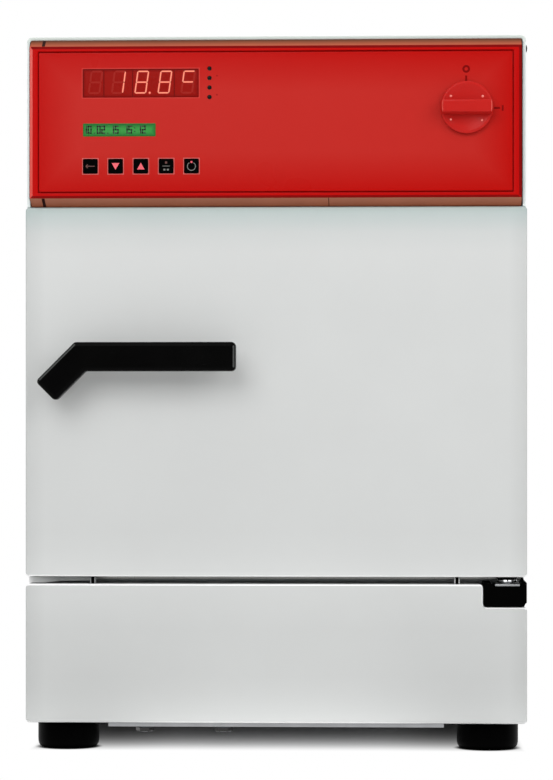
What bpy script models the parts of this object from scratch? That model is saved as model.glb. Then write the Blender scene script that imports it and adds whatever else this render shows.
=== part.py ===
# Refrigerated incubator with a chamber of about 20 litres.
# Sizes are in millimetres and become metres when a mesh is made. A place is (x, d, z): x to the
# right, d the depth behind the door's front face, z up from the floor.
import math

import bmesh
import bpy
from mathutils import Matrix, Vector
from mathutils.geometry import delaunay_2d_cdt

MM = 0.001

# Cabinet
WIDTH = 431.0  # casing
FACE_OVERHANG = 1.0  # door and lower panel past the casing, each side
DEPTH = 516.0  # door face to rear cover
SHEET = 1.5  # casing, door and panels
GAP = 0.3  # between parts that touch
FOLD = 3.0  # radius of a folded edge

# Storeys, from the floor up
GROUND_CLEARANCE = 25.0
LOWER_PANEL_HEIGHT = 120.0
DOOR_SLOT = 6.4  # between lower panel and door
DOOR_HEIGHT = 319.0
CONTROL_SLOT = 0.8  # between door and control housing
CONTROL_HEIGHT = 143.2
HOOD_SLOT = 0.6  # between control housing and the hood's hem

# Door
DOOR_THICKNESS = 36.0
SEAL_SPACE = 8.0  # between door and front frame
SEAL_WIDTH = 7.0
DOOR_PRESSING = 3.0  # how far the inner pan's middle is pressed out
DOOR_RIM = 80.0  # round the pressing
DOOR_SLOPE = 8.0
PIN_INSET = 17.1  # hinge pin to the door's right edge
PIN_DEPTH = 12.0  # hinge pin behind the door's face
PIN_RADIUS = 4.0
PIN_REACH = 12.0  # of a pin in its bush
BUSH_RADIUS = 9.0
BUSH_LENGTH = 16.0
RUNNING_GAP = 0.3  # radial, round shafts and pins

# Door handle and latch
HANDLE_INSET = 29.5  # spindle to the door's left edge
HANDLE_RISE = 9.6  # spindle above the door's middle
HANDLE_LENGTH = 152.9  # spindle to the bar's free end
BAR_HEIGHT = 24.9
BAR_RISE = 20.0  # bar's middle above the spindle
LEG_WIDTH = 22.6
LEG_TAIL = 12.7  # spindle to the leg's end
LEVER_THICKNESS = 14.0
GRIP_SPACE = 26.0  # finger room behind the bar
HANDLE_EDGE = 2.6
HUB_RADIUS = 9.5
SPINDLE_RADIUS = 5.0
FINGER_LENGTH = 21.5
FINGER_HEIGHT = 9.0
FINGER_THICKNESS = 3.5

# Front frame and chamber
FRAME_THICKNESS = 10.0
FRAME_RISE = 20.0  # above the bottom of the control housing
SIDE_WALL = 50.5  # casing's side to the chamber
CHAMBER_HEIGHT = 222.0
CHAMBER_DEPTH = 277.0  # frame to air baffle
CHAMBER_CORNER = 12.0
LINER_SHEET = 1.0
INSULATION = 50.0
DUCT_DEPTH = 37.0  # behind the air baffle
RUNNER_REACH = 7.0
RUNNER_PITCH = 37.0
RUNNER_HEIGHT = 8.0
SHELF_DEPTH = 255.0
SHELF_ROD = 6.0
SHELF_WIRE = 3.0
SHELF_WIRES = 9

# Inner glass door
GLASS = 4.0
GLASS_LAP = 4.0  # over the chamber's edge, on three sides
REBATE_DEPTH = 6.3
GLASS_SIDE_GAP = 1.0
GLASS_HINGE_OFFSET = 5.0  # pane edge to hinge axis
KNUCKLE_RADIUS = 2.8
CLIP_LENGTH = 24.0
CLIP_SHEET = 1.3
GLASS_PIN_RADIUS = 1.5

# Air circulation
BAFFLE_SHEET = 1.2
BAFFLE_EDGE = 9.0  # air slot above and below the baffle
IMPELLER_RADIUS = 55.0
IMPELLER_BLADES = 10
FAN_SHAFT_RADIUS = 4.0
MOTOR_RADIUS = 35.0
MOTOR_LENGTH = 42.0
HEATER_RADIUS = 68.0
HEATER_TUBE = 7.0
PIPE = 7.0  # outside diameter of the copper lines
EVAPORATOR_MARGIN = 27.0  # fins to the chamber's floor and roof
EVAPORATOR_INSET = 25.0
EVAPORATOR_SPINE = 16.0
FIN = 1.5
FIN_PITCH = 11.0
PORT_INSET = 35.0  # evaporator's pipes to the chamber's side
PORT_MARGIN = 41.0  # and to its floor and roof

# Machine room
DECK_DROP = 4.3  # deck below the door's bottom
PAN_DROP = 3.5  # middle of the base pan below its wings
PAN_LIP_D = 4.0  # front edge of the dropped middle, turned up behind the lower panel
PAN_WING = 70.5  # width of each wing, held by the feet
FOOT_RADIUS = 26.5
FOOT_INSET_X = 31.7
FOOT_INSET_D = 46.0
COMPRESSOR_ROOM = 62.0  # pan's left step to the compressor's middle
COMPRESSOR_WIDTH = 100.0
COMPRESSOR_DEPTH = 124.0
COMPRESSOR_HEIGHT = 100.0
BOLT_SPACING_X = 69.6
BOLT_SPACING_D = 140.0
FIRST_BOLT_D = 62.0
BOLT_RADIUS = 3.0
BOLT_COLLAR = 4.5  # radius of the shank's collar under the pan
BOLT_HEAD = 7.0  # radius of the head
BOLT_HEAD_HEIGHT = 3.2
BOLT_HEAD_DROP = 6.2  # head's upper face below the pan
GROMMET_HEIGHT = 8.0
CONDENSER_ROOM = 4.0  # between fin block and the pan's right step
CONDENSER_WIDTH = 150.0
CONDENSER_HEIGHT = 110.0
CONDENSER_DEPTH = 34.0
COOLING_FAN = 92.0  # side of the square fan frame
COOLING_FAN_DEPTH = 25.0
COOLING_BLADES = 7
DRIER_LENGTH = 90.0
DRIER_SPACE = 60.0  # beside the fin block
DRIER_RISE = 20.0  # above the deck

# Rear cover and mains inlet
VENT_WIDTH = 60.0
VENT_HEIGHT = 3.2
VENT_PITCH = 9.0
INLET_INSET = 65.5  # inlet's middle to the casing's left side
INLET_RISE = 55.0  # above the casing's lower edge
INLET_WIDTH = 27.6
INLET_HEIGHT = 20.0
INLET_PROUD = 2.5
INLET_DEPTH = 24.0

# Control housing and panel
PROUD = 12.0  # housing in front of the door
HOOD_SETBACK = 2.0
HEM = 12.0  # depth of the hood's front edge, folded back on itself
SIDE_SLOT = 0.6  # between housing and hem
HOUSING_WALL = 2.5
TOP_CHAMFER = (6.4, 10.0)  # height, depth
BOTTOM_CHAMFER = (6.4, 14.0)
PANEL_THICKNESS = 2.5
GROOVE = 1.3
PANEL_MARGIN_X = 7.1
PANEL_MARGIN_Z = 4.2
DISPLAY_INSET = 99.8  # middles of what the panel holds, from the casing's left side
DISPLAY_RISE = 104.9  # and above the housing's lower edge
DISPLAY_WIDTH = 100.0
DISPLAY_HEIGHT = 24.2
TEXT_INSET = 81.4
TEXT_RISE = 64.7
TEXT_WIDTH = 62.7
TEXT_HEIGHT = 10.8
WINDOW_LIP = 2.0
KEY_COUNT = 5
KEY_INSET = 56.4
KEY_RISE = 33.1
KEY_PITCH = 21.8
KEY_SIZE = 12.5
KEY_COLLAR = 15.5
KEY_PROUD = 0.8
KEY_TRAVEL = 0.5
LAMP_COUNT = 4
LAMP_INSET = 159.1
LAMP_RISE = 92.9
LAMP_PITCH = 8.17
LAMP_RADIUS = 1.7
BOARD_DEPTH = 2.0  # front of the key board behind the door's face
BOARD_MARGIN = 6.0
BOARD = 1.6  # thickness of a circuit board
POWER_BOARD_X = 30.0  # left edge, right of the middle
POWER_BOARD_D = 60.0  # front edge, behind the insulation's front
POWER_BOARD_WIDTH = 140.0
POWER_BOARD_LENGTH = 180.0
POST_HEIGHT = 8.0
POST_RADIUS = 3.0
TRANSFORMER = 50.0
RELAY_WIDTH = 15.0
RELAY_LENGTH = 30.0
RELAY_HEIGHT = 18.0
SWITCH_INSET = 51.3  # to the casing's right side
SWITCH_RISE = 82.9
KNOB_RADIUS = 22.5
KNOB_DISC = 5.0
KNOB_HEIGHT = 17.0
GRIP_HEIGHT = 10.0
SWITCH_BODY = 44.0
SWITCH_DEPTH = 38.0
PLUG_RADIUS = 3.6
PLUG_PROUD = 2.0
PLUG_DROP = 9.6  # below the casing's top
PLUG_SETBACK = 18.0  # behind the hood's front edge

# Heights and half sizes that follow
HALF = WIDTH / 2
FACE_HALF = HALF + FACE_OVERHANG  # half width of the door and the lower panel
INSIDE = HALF - SHEET - GAP  # half width of what fits between the side walls
PANEL_TOP = GROUND_CLEARANCE + LOWER_PANEL_HEIGHT
DOOR_BOTTOM = PANEL_TOP + DOOR_SLOT
DOOR_TOP = DOOR_BOTTOM + DOOR_HEIGHT
CONTROL_BOTTOM = DOOR_TOP + CONTROL_SLOT
CONTROL_TOP = CONTROL_BOTTOM + CONTROL_HEIGHT
CASING_TOP = CONTROL_TOP + HOOD_SLOT + 2 * SHEET
DECK_TOP = DOOR_BOTTOM - DECK_DROP
PAN_FLOOR = GROUND_CLEARANCE - PAN_DROP + SHEET
MIDDLE_Z = (DOOR_BOTTOM + DOOR_TOP) / 2
CHAMBER_HALF = HALF - SIDE_WALL
CHAMBER_BOTTOM = MIDDLE_Z - CHAMBER_HEIGHT / 2
CHAMBER_TOP = MIDDLE_Z + CHAMBER_HEIGHT / 2

PAN_HALF = HALF - PAN_WING
COMPRESSOR_X = COMPRESSOR_ROOM - PAN_HALF
CONDENSER_X = PAN_HALF - SHEET - CONDENSER_ROOM - CONDENSER_WIDTH / 2
INLET_X = INLET_INSET - HALF
INLET_Z = GROUND_CLEARANCE + INLET_RISE

# Depths that follow
PANEL_BACK = DOOR_THICKNESS + SEAL_SPACE
FRAME_FACE = PANEL_BACK + GAP
LINER_FRONT = FRAME_FACE + FRAME_THICKNESS + GAP
BAFFLE_FRONT = LINER_FRONT + CHAMBER_DEPTH
LINER_BACK = BAFFLE_FRONT + DUCT_DEPTH
INSULATION_FRONT = FRAME_FACE + FRAME_THICKNESS + GAP
INSULATION_BACK = LINER_BACK + LINER_SHEET + GAP + INSULATION
INSULATION_TOP = CHAMBER_TOP + LINER_SHEET + GAP + INSULATION
COVER_FRONT = DEPTH - SHEET
ROOM_BACK = COVER_FRONT - GAP
LEVER_FRONT = -GRIP_SPACE - LEVER_THICKNESS
FRONT_Y = -LEVER_FRONT - (DEPTH + INLET_PROUD - LEVER_FRONT) / 2  # y of the door's face

# What the panel holds
DISPLAY = (DISPLAY_INSET - HALF, CONTROL_BOTTOM + DISPLAY_RISE, DISPLAY_WIDTH, DISPLAY_HEIGHT)
TEXT_LINE = (TEXT_INSET - HALF, CONTROL_BOTTOM + TEXT_RISE, TEXT_WIDTH, TEXT_HEIGHT)
FIRST_KEY_X = KEY_INSET - HALF
KEY_Z = CONTROL_BOTTOM + KEY_RISE
LAMP_X = LAMP_INSET - HALF
LAMP_Z = CONTROL_BOTTOM + LAMP_RISE
SWITCH_X = HALF - SWITCH_INSET
SWITCH_Z = CONTROL_BOTTOM + SWITCH_RISE

# Joint axes
PIN_X = FACE_HALF - PIN_INSET
HANDLE_X = HANDLE_INSET - FACE_HALF
HANDLE_Z = MIDDLE_Z + HANDLE_RISE
GLASS_LEFT = -CHAMBER_HALF - GLASS_LAP
GLASS_RIGHT = CHAMBER_HALF + GLASS_LAP - 1.0
GLASS_BACK = FRAME_FACE + REBATE_DEPTH - 0.4
GLASS_FRONT = GLASS_BACK - GLASS
GLASS_AXIS_X = GLASS_RIGHT + GLASS_HINGE_OFFSET
GLASS_AXIS_D = FRAME_FACE + 0.4 + KNUCKLE_RADIUS
COOLING_FAN_Z = PAN_FLOOR + GAP + CONDENSER_HEIGHT / 2
CONDENSER_BACK = ROOM_BACK - 8.0
CONDENSER_FRONT = CONDENSER_BACK - CONDENSER_DEPTH
COOLING_FAN_BACK = CONDENSER_FRONT - GAP
PANEL_BACK_FACE = PANEL_THICKNESS - PROUD  # rear face of the control panel
HOUSING_FACE_BACK = PANEL_BACK_FACE + GAP + HOUSING_WALL


# Materials

def material(name, colour, roughness, metallic=0.0):
    made = bpy.data.materials.new(name)
    made.use_nodes = True
    shader = made.node_tree.nodes["Principled BSDF"]
    linear = [c / 12.92 if c <= 0.04045 else ((c + 0.055) / 1.055) ** 2.4 for c in colour]
    shader.inputs["Base Color"].default_value = (*linear, 1.0)
    shader.inputs["Roughness"].default_value = roughness
    shader.inputs["Metallic"].default_value = metallic
    made.diffuse_color = (*linear, 1.0)
    return made


# Outlines, as lists of (u, v)

def rectangle(u0, u1, v0, v1, radius=0.0, steps=3):
    if radius <= 0.0:
        return [(u0, v0), (u1, v0), (u1, v1), (u0, v1)]
    middles = [(u1 - radius, v0 + radius, -90), (u1 - radius, v1 - radius, 0),
               (u0 + radius, v1 - radius, 90), (u0 + radius, v0 + radius, 180)]
    return [(u + radius * math.cos(a), v + radius * math.sin(a))
            for u, v, start in middles
            for a in (math.radians(start + 90 * i / steps) for i in range(steps + 1))]


def centred(u, v, width, height, radius=0.0):
    return rectangle(u - width / 2, u + width / 2, v - height / 2, v + height / 2, radius)


def circle(u, v, radius, segments=24):
    angles = [2 * math.pi * i / segments for i in range(segments)]
    return [(u + radius * math.cos(a), v + radius * math.sin(a)) for a in angles]


def rounded(corners, radius, steps=3):
    """The polygon with each corner replaced by an arc of the radius."""
    outline = []
    for i, corner in enumerate(corners):
        here = Vector(corner)
        back = (Vector(corners[i - 1]) - here).normalized()
        on = (Vector(corners[(i + 1) % len(corners)]) - here).normalized()
        half_angle = back.angle(on) / 2
        middle = here + (back + on).normalized() * radius / math.sin(half_angle)
        first = here + back * radius / math.tan(half_angle) - middle
        turn = first.angle_signed(here + on * radius / math.tan(half_angle) - middle)
        for step in range(steps + 1):
            outline.append(tuple(middle + Matrix.Rotation(-turn * step / steps, 2) @ first))
    return outline


# Solids

def solid(name, places, faces, finish):
    points = [(x * MM, (FRONT_Y + d) * MM, z * MM) for x, d, z in places]
    mesh = bpy.data.meshes.new(name)
    mesh.from_pydata(points, [], faces)
    shape = bmesh.new()
    shape.from_mesh(mesh)
    bmesh.ops.recalc_face_normals(shape, faces=shape.faces)
    shape.to_mesh(mesh)
    shape.free()
    mesh.materials.append(finish)
    piece = bpy.data.objects.new(name, mesh)
    bpy.context.scene.collection.objects.link(piece)
    return piece


def inside(place, outline):
    crossings = 0
    for (u0, v0), (u1, v1) in zip(outline, outline[1:] + outline[:1]):
        if (v0 > place[1]) != (v1 > place[1]):
            crossings += place[0] < u0 + (place[1] - v0) * (u1 - u0) / (v1 - v0)
    return crossings % 2 == 1


def filled(outlines):
    """Triangles between the first outline and the holes that follow it, as indices into all points."""
    flat = [Vector(point) for outline in outlines for point in outline]
    edges, start = [], 0
    for outline in outlines:
        size = len(outline)
        edges += [(start + i, start + (i + 1) % size) for i in range(size)]
        start += size
    _, _, triangles, sources, _, _ = delaunay_2d_cdt(flat, edges, [], 1, 1e-4)
    kept = []
    for triangle in triangles:
        corners = [sources[i][0] for i in triangle]
        middle = sum((flat[i] for i in corners), Vector((0, 0))) / 3
        if inside(middle, outlines[0]) and not any(inside(middle, hole) for hole in outlines[1:]):
            kept.append(tuple(corners))
    return kept


def extruded(name, outlines, axis, low, high, finish):
    """Outlines of (x, z), (x, d) or (d, z) drawn out along Y, Z or X; those after the first are holes."""
    order = {"X": lambda u, v, w: (w, u, v), "Y": lambda u, v, w: (u, w, v),
             "Z": lambda u, v, w: (u, v, w)}[axis]
    flat = [point for outline in outlines for point in outline]
    count = len(flat)
    if len(outlines) == 1:
        caps = [tuple(range(count))]
    else:
        caps = filled(outlines)
    faces = [tuple(cap) for cap in caps] + [tuple(i + count for i in cap) for cap in caps]
    start = 0
    for outline in outlines:
        size = len(outline)
        for i in range(size):
            a, b = start + i, start + (i + 1) % size
            faces.append((a, b, b + count, a + count))
        start += size
    return solid(name, [order(u, v, w) for w in (low, high) for u, v in flat], faces, finish)


def lofted(name, rings, finish, closed=False):
    """Rings of as many places each, joined in turn; open ends are capped, or the last meets the first."""
    count = len(rings[0])
    steps = len(rings) if closed else len(rings) - 1
    faces = []
    for step in range(steps):
        a, b = step * count, (step + 1) % len(rings) * count
        faces += [(a + i, a + (i + 1) % count, b + (i + 1) % count, b + i) for i in range(count)]
    total = count * len(rings)
    if not closed:
        faces += [tuple(range(count)), tuple(range(total - count, total))]
    return solid(name, [place for ring in rings for place in ring], faces, finish)


def at_depth(outline, d):
    return [(u, d, v) for u, v in outline]


def turned(name, profile, axis, centre, finish, segments=18, bored=False, squeeze=(1.0, 1.0)):
    """A profile of (radius, place along the axis) spun about it; a bored profile closes on itself."""
    order = {"X": lambda r, s, w: (w, r, s), "Y": lambda r, s, w: (r, w, s),
             "Z": lambda r, s, w: (r, s, w)}[axis]
    places, rows = [], []
    for radius, along in profile:
        around = segments if radius > 0 else 1
        rows.append(range(len(places), len(places) + around))
        for i in range(around):
            angle = 2 * math.pi * (i + 0.5) / segments
            offset = order(radius * math.cos(angle) * squeeze[0],
                           radius * math.sin(angle) * squeeze[1], along)
            places.append(tuple(c + o for c, o in zip(centre, offset)))
    faces = []
    pairs = list(zip(rows, rows[1:])) + ([(rows[-1], rows[0])] if bored else [])
    for a, b in pairs:
        for i in range(segments):
            j = (i + 1) % segments
            corners = [a[i % len(a)], a[j % len(a)], b[j % len(b)], b[i % len(b)]]
            faces.append(tuple(dict.fromkeys(corners)))
    piece = solid(name, places, [face for face in faces if len(face) > 2], finish)
    return smooth(piece)


def smooth(piece, angle=35.0):
    piece.data.shade_smooth()
    piece.data.set_sharp_from_angle(angle=math.radians(angle))
    return piece


def baked(piece):
    """The piece with its modifiers turned into mesh."""
    view = bpy.context.evaluated_depsgraph_get()
    mesh = bpy.data.meshes.new_from_object(piece.evaluated_get(view))
    piece.modifiers.clear()
    piece.data = mesh
    return piece


def combined(piece, others, operation):
    for other in others:
        modifier = piece.modifiers.new(operation.title(), "BOOLEAN")
        modifier.operation = operation
        modifier.solver = "EXACT"
        modifier.object = other
    baked(piece)
    for other in others:
        bpy.data.objects.remove(other)
    return piece


def fused(piece, *others):
    return combined(piece, others, "UNION")


def cut(piece, *cutters):
    return combined(piece, cutters, "DIFFERENCE")


def edged(piece, width, segments=2, angle=35.0):
    """Bevelled along every edge sharper than the angle."""
    modifier = piece.modifiers.new("Edges", "BEVEL")
    modifier.width = width * MM
    modifier.segments = segments
    modifier.limit_method = "ANGLE"
    modifier.angle_limit = math.radians(angle)
    return smooth(baked(piece))


def block(name, x, d, z, finish):
    return extruded(name, [rectangle(*x, *z)], "Y", *d, finish)


def rod(name, axis, centre, radius, low, high, finish, segments=12):
    profile = [(0, low), (radius, low), (radius, high), (0, high)]
    return turned(name, profile, axis, centre, finish, segments)


def pipe(name, start, route, end, finish):
    """Copper pipe on one smooth curve from port to port; a port is a place and its outward direction."""
    first, last = [[Vector(place) + Vector(way) * run for run in (0.0, 4.0, 9.0)]
                   for place, way in (start, end)]
    places = [*first, *(Vector(place) for place in route), *reversed(last)]
    spans = [(b - a).length for a, b in zip(places, places[1:])]
    slopes = [(b - a) / span for a, b, span in zip(places, places[1:], spans)]
    ways = [slopes[0]]
    for before, after, s, t in zip(slopes, slopes[1:], spans, spans[1:]):
        ways.append((before * t + after * s) / (s + t))
    ways.append(slopes[-1])
    path = []
    for a, b, way_a, way_b, span in zip(places, places[1:], ways, ways[1:], spans):
        steps = max(1, min(5, round(span / 12.0)))
        for t in (i / steps for i in range(steps)):
            path.append(a * (2 * t ** 3 - 3 * t ** 2 + 1) + b * (3 * t ** 2 - 2 * t ** 3)
                        + way_a * span * (t ** 3 - 2 * t ** 2 + t) + way_b * span * (t ** 3 - t ** 2))
    path.append(places[-1])
    curve = bpy.data.curves.new(name, "CURVE")
    curve.dimensions = "3D"
    curve.bevel_depth = PIPE / 2 * MM
    curve.bevel_resolution = 1
    curve.use_fill_caps = True
    spline = curve.splines.new("POLY")
    spline.points.add(len(path) - 1)
    for point, place in zip(spline.points, path):
        point.co = (place.x * MM, (FRONT_Y + place.y) * MM, place.z * MM, 1.0)
    curve.materials.append(finish)
    piece = bpy.data.objects.new(name, curve)
    bpy.context.scene.collection.objects.link(piece)
    return piece


def joint(name, place, pieces):
    """An empty on the joint's axis, which carries the pieces."""
    axis = bpy.data.objects.new(name, None)
    bpy.context.scene.collection.objects.link(axis)
    x, d, z = place
    axis.location = Vector((x, FRONT_Y + d, z)) * MM
    for piece in pieces:
        piece.data.transform(Matrix.Translation(-axis.location))
        piece.parent = axis
    return axis


# Cabinet

def outer_casing(finish):
    """Top and both sides from one sheet; above the door it runs forward as a hood with a hem."""
    def arch(inset):
        outer = rectangle(inset - HALF, HALF - inset, GROUND_CLEARANCE, CASING_TOP - inset)
        radius = FOLD + SHEET - inset
        sides = [outer[0], outer[3], outer[2], outer[1]]
        left = [(sides[1][0] + radius * (1 - math.cos(a)), sides[1][1] - radius * (1 - math.sin(a)))
                for a in (math.radians(30 * i) for i in range(4))]
        right = [(-u, v) for u, v in reversed(left)]
        return [sides[0], *left, *right, sides[3]]

    casing = extruded("outer_casing", [arch(0.0) + arch(SHEET)[::-1]], "Y", HOOD_SETBACK, ROOM_BACK,
                      finish)
    hem = extruded("hem", [arch(SHEET / 2) + arch(2 * SHEET)[::-1]], "Y", HOOD_SETBACK,
                   HOOD_SETBACK + HEM, finish)
    doorway = block("doorway", (-WIDTH, WIDTH), (HOOD_SETBACK - WIDTH, FRAME_FACE),
                    (GROUND_CLEARANCE - FOLD, (DOOR_TOP + CONTROL_BOTTOM) / 2), finish)
    hole = rod("hole", "X", plug_place(), PLUG_RADIUS * 0.7, -FOLD, FOLD, finish)
    return smooth(cut(fused(casing, hem), doorway, hole))


def plug_place():
    return (HALF, HOOD_SETBACK + PLUG_SETBACK, CASING_TOP - PLUG_DROP)


def side_plug(finish):
    profile = [(0, -SHEET), (PLUG_RADIUS * 0.6, -SHEET), (PLUG_RADIUS * 0.6, GAP),
               (PLUG_RADIUS, GAP), (PLUG_RADIUS, PLUG_PROUD * 0.6), (PLUG_RADIUS * 0.6, PLUG_PROUD),
               (0, PLUG_PROUD)]
    return turned("side_plug", profile, "X", plug_place(), finish, 14)


def rear_cover(finish):
    outer = rectangle(-HALF, HALF, GROUND_CLEARANCE, CASING_TOP, FOLD)
    holes = [centred(INLET_X, INLET_Z, INLET_WIDTH + 1.0, INLET_HEIGHT + 1.0)]
    for column in (-1, 1):
        x = CONDENSER_X + column * (VENT_WIDTH + VENT_PITCH) / 2
        rows = int(CONDENSER_HEIGHT / VENT_PITCH) - 2
        for row in range(rows):
            z = COOLING_FAN_Z + (row - (rows - 1) / 2) * VENT_PITCH
            holes.append(centred(x, z, VENT_WIDTH, VENT_HEIGHT))
    for column in (-1, 1):
        for row in range(4):
            z = CASING_TOP - 60.0 - row * VENT_PITCH
            holes.append(centred(column * WIDTH / 4, z, VENT_WIDTH, VENT_HEIGHT))
    return extruded("rear_cover", [outer, *holes], "Y", COVER_FRONT, DEPTH, finish)


def front_frame(finish):
    """Ring round the chamber's mouth, with a rebate for the glass door and lugs for its hinges."""
    bottom, top = DECK_TOP + GAP, CONTROL_BOTTOM + FRAME_RISE
    back = FRAME_FACE + FRAME_THICKNESS
    floor = FRAME_FACE + REBATE_DEPTH
    outer = rectangle(-INSIDE, INSIDE, bottom, top)
    mouth = rectangle(-CHAMBER_HALF, CHAMBER_HALF, CHAMBER_BOTTOM, CHAMBER_TOP)
    rebate = rectangle(GLASS_LEFT - GLASS_SIDE_GAP, GLASS_AXIS_X + GLASS_HINGE_OFFSET,
                       CHAMBER_BOTTOM - GLASS_LAP - GLASS_SIDE_GAP,
                       CHAMBER_TOP + GLASS_LAP + GLASS_SIDE_GAP)
    rings = [at_depth(outer, FRAME_FACE), at_depth(outer, back), at_depth(mouth, back),
             at_depth(mouth, floor), at_depth(rebate, floor), at_depth(rebate, FRAME_FACE)]
    frame = lofted("front_frame", rings, finish, closed=True)
    lug = KNUCKLE_RADIUS + 0.1
    height = 5.0
    lugs, bores = [], []
    for z in glass_clip_heights():
        for side in (-1, 1):
            middle = z + side * (CLIP_LENGTH / 2 + GAP + height / 2)
            lugs.append(block("lug", (GLASS_AXIS_X - lug, GLASS_AXIS_X + lug),
                              (FRAME_FACE + 0.3, floor + 0.5),
                              (middle - height / 2, middle + height / 2), finish))
        reach = CLIP_LENGTH / 2 + height + 1.0
        bores.append(rod("bore", "Z", (GLASS_AXIS_X, GLASS_AXIS_D, z),
                         GLASS_PIN_RADIUS + RUNNING_GAP, -reach, reach, finish, 12))
    return cut(fused(frame, *lugs), *bores)


def liner_outline(grow):
    """The chamber's section with its pressed shelf runners; grow moves it outwards."""
    wall = CHAMBER_HALF + grow
    tip = wall - RUNNER_REACH
    low, high = CHAMBER_BOTTOM - grow, CHAMBER_TOP + grow
    radius = CHAMBER_CORNER + grow
    right = []
    for angle in range(-90, 1, 30):
        a = math.radians(angle)
        right.append((wall - radius + radius * math.cos(a), low + radius + radius * math.sin(a)))
    for z in runner_heights():
        right += [(wall, z - RUNNER_HEIGHT + grow), (tip, z - RUNNER_HEIGHT / 2 + grow),
                  (tip, z - grow), (wall, z - grow)]
    for angle in range(0, 91, 30):
        a = math.radians(angle)
        right.append((wall - radius + radius * math.cos(a), high - radius + radius * math.sin(a)))
    return right + [(-u, v) for u, v in reversed(right)]


def runner_heights():
    """Top face of each shelf runner."""
    return [MIDDLE_Z + RUNNER_PITCH * level for level in (-2, -1, 0, 1, 2)]


def pipe_places():
    """Where the evaporator's two pipes go through the rear wall, as (x, z)."""
    reach = CHAMBER_HEIGHT / 2 - PORT_MARGIN
    return [(PORT_INSET - CHAMBER_HALF, MIDDLE_Z + side * reach) for side in (-1, 1)]


def rear_holes(low, high, finish):
    shaft = rod("hole", "Y", (0, 0, MIDDLE_Z), FAN_SHAFT_RADIUS + 3.0, low, high, finish)
    pipes = [rod("hole", "Y", (x, 0, z), PIPE / 2 + 0.6, low, high, finish, 12)
             for x, z in pipe_places()]
    return [shaft, *pipes]


def chamber_liner(finish):
    rings = [at_depth(liner_outline(0.0), LINER_BACK), at_depth(liner_outline(0.0), LINER_FRONT),
             at_depth(liner_outline(LINER_SHEET), LINER_FRONT),
             at_depth(liner_outline(LINER_SHEET), LINER_BACK + LINER_SHEET)]
    liner = lofted("chamber_liner", rings, finish)
    return cut(liner, *rear_holes(LINER_BACK - 5.0, LINER_BACK + 5.0, finish))


def chamber_insulation(finish):
    wall = LINER_SHEET + GAP
    inner = rectangle(-CHAMBER_HALF - wall, CHAMBER_HALF + wall, CHAMBER_BOTTOM - wall,
                      CHAMBER_TOP + wall)
    outer = rectangle(-INSIDE, INSIDE, DECK_TOP + GAP, INSULATION_TOP)
    rings = [at_depth(inner, LINER_BACK + wall), at_depth(inner, INSULATION_FRONT),
             at_depth(outer, INSULATION_FRONT), at_depth(outer, INSULATION_BACK)]
    foam = lofted("chamber_insulation", rings, finish)
    return cut(foam, *rear_holes(LINER_BACK - 5.0, INSULATION_BACK + 5.0, finish))


def wire_shelf(name, runner, finish):
    """Chromed wire rack: two rails and three cross rods, with thin wires welded on top."""
    half = CHAMBER_HALF - 1.5
    front = LINER_FRONT + 10.0
    back = front + SHELF_DEPTH
    radius = SHELF_ROD / 2
    z = runner + GAP + radius
    rails = [rod("rail", "Y", (side * (half - radius), 0, z), radius, front, back, finish, 6)
             for side in (-1, 1)]
    inner = half - radius
    for i in range(3):
        d = front + radius + (SHELF_DEPTH - SHELF_ROD) * i / 2
        rails.append(rod("cross", "X", (0, d, z), radius * (0.8 if i == 1 else 1.0),
                         -inner, inner, finish, 6))
    for i in range(SHELF_WIRES):
        x = (i + 1) / (SHELF_WIRES + 1) * 2 * inner - inner
        rails.append(rod("wire", "Y", (x, 0, z + radius), SHELF_WIRE / 2, front + 1.0, back - 1.0,
                         finish, 5))
    rack = fused(rails[0], *rails[1:])
    rack.name = name
    return smooth(rack)


def air_baffle(finish):
    """Sheet in front of the air duct, perforated before the fan and held off the wall by four posts."""
    half = CHAMBER_HALF - RUNNER_REACH - 1.0
    low, high = CHAMBER_BOTTOM + BAFFLE_EDGE, CHAMBER_TOP - BAFFLE_EDGE
    holes = [circle(0, MIDDLE_Z, 6.0, 6)]
    for ring, count in ((1, 5), (2, 10)):
        for i in range(count):
            a = 2 * math.pi * i / count
            holes.append(circle(17.0 * ring * math.cos(a), MIDDLE_Z + 17.0 * ring * math.sin(a),
                                6.0, 6))
    sheet = extruded("air_baffle", [rectangle(-half, half, low, high), *holes], "Y", BAFFLE_FRONT,
                     BAFFLE_FRONT + BAFFLE_SHEET, finish)
    posts = [rod("post", "Y", (x, 0, MIDDLE_Z + side * (CHAMBER_HEIGHT / 2 - BAFFLE_EDGE - 6.0)), 4.0,
                 BAFFLE_FRONT + BAFFLE_SHEET / 2, LINER_BACK - GAP, finish, 6)
             for x in (-half + 6.0, half - 6.0) for side in (-1, 1)]
    return fused(sheet, *posts)


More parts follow.
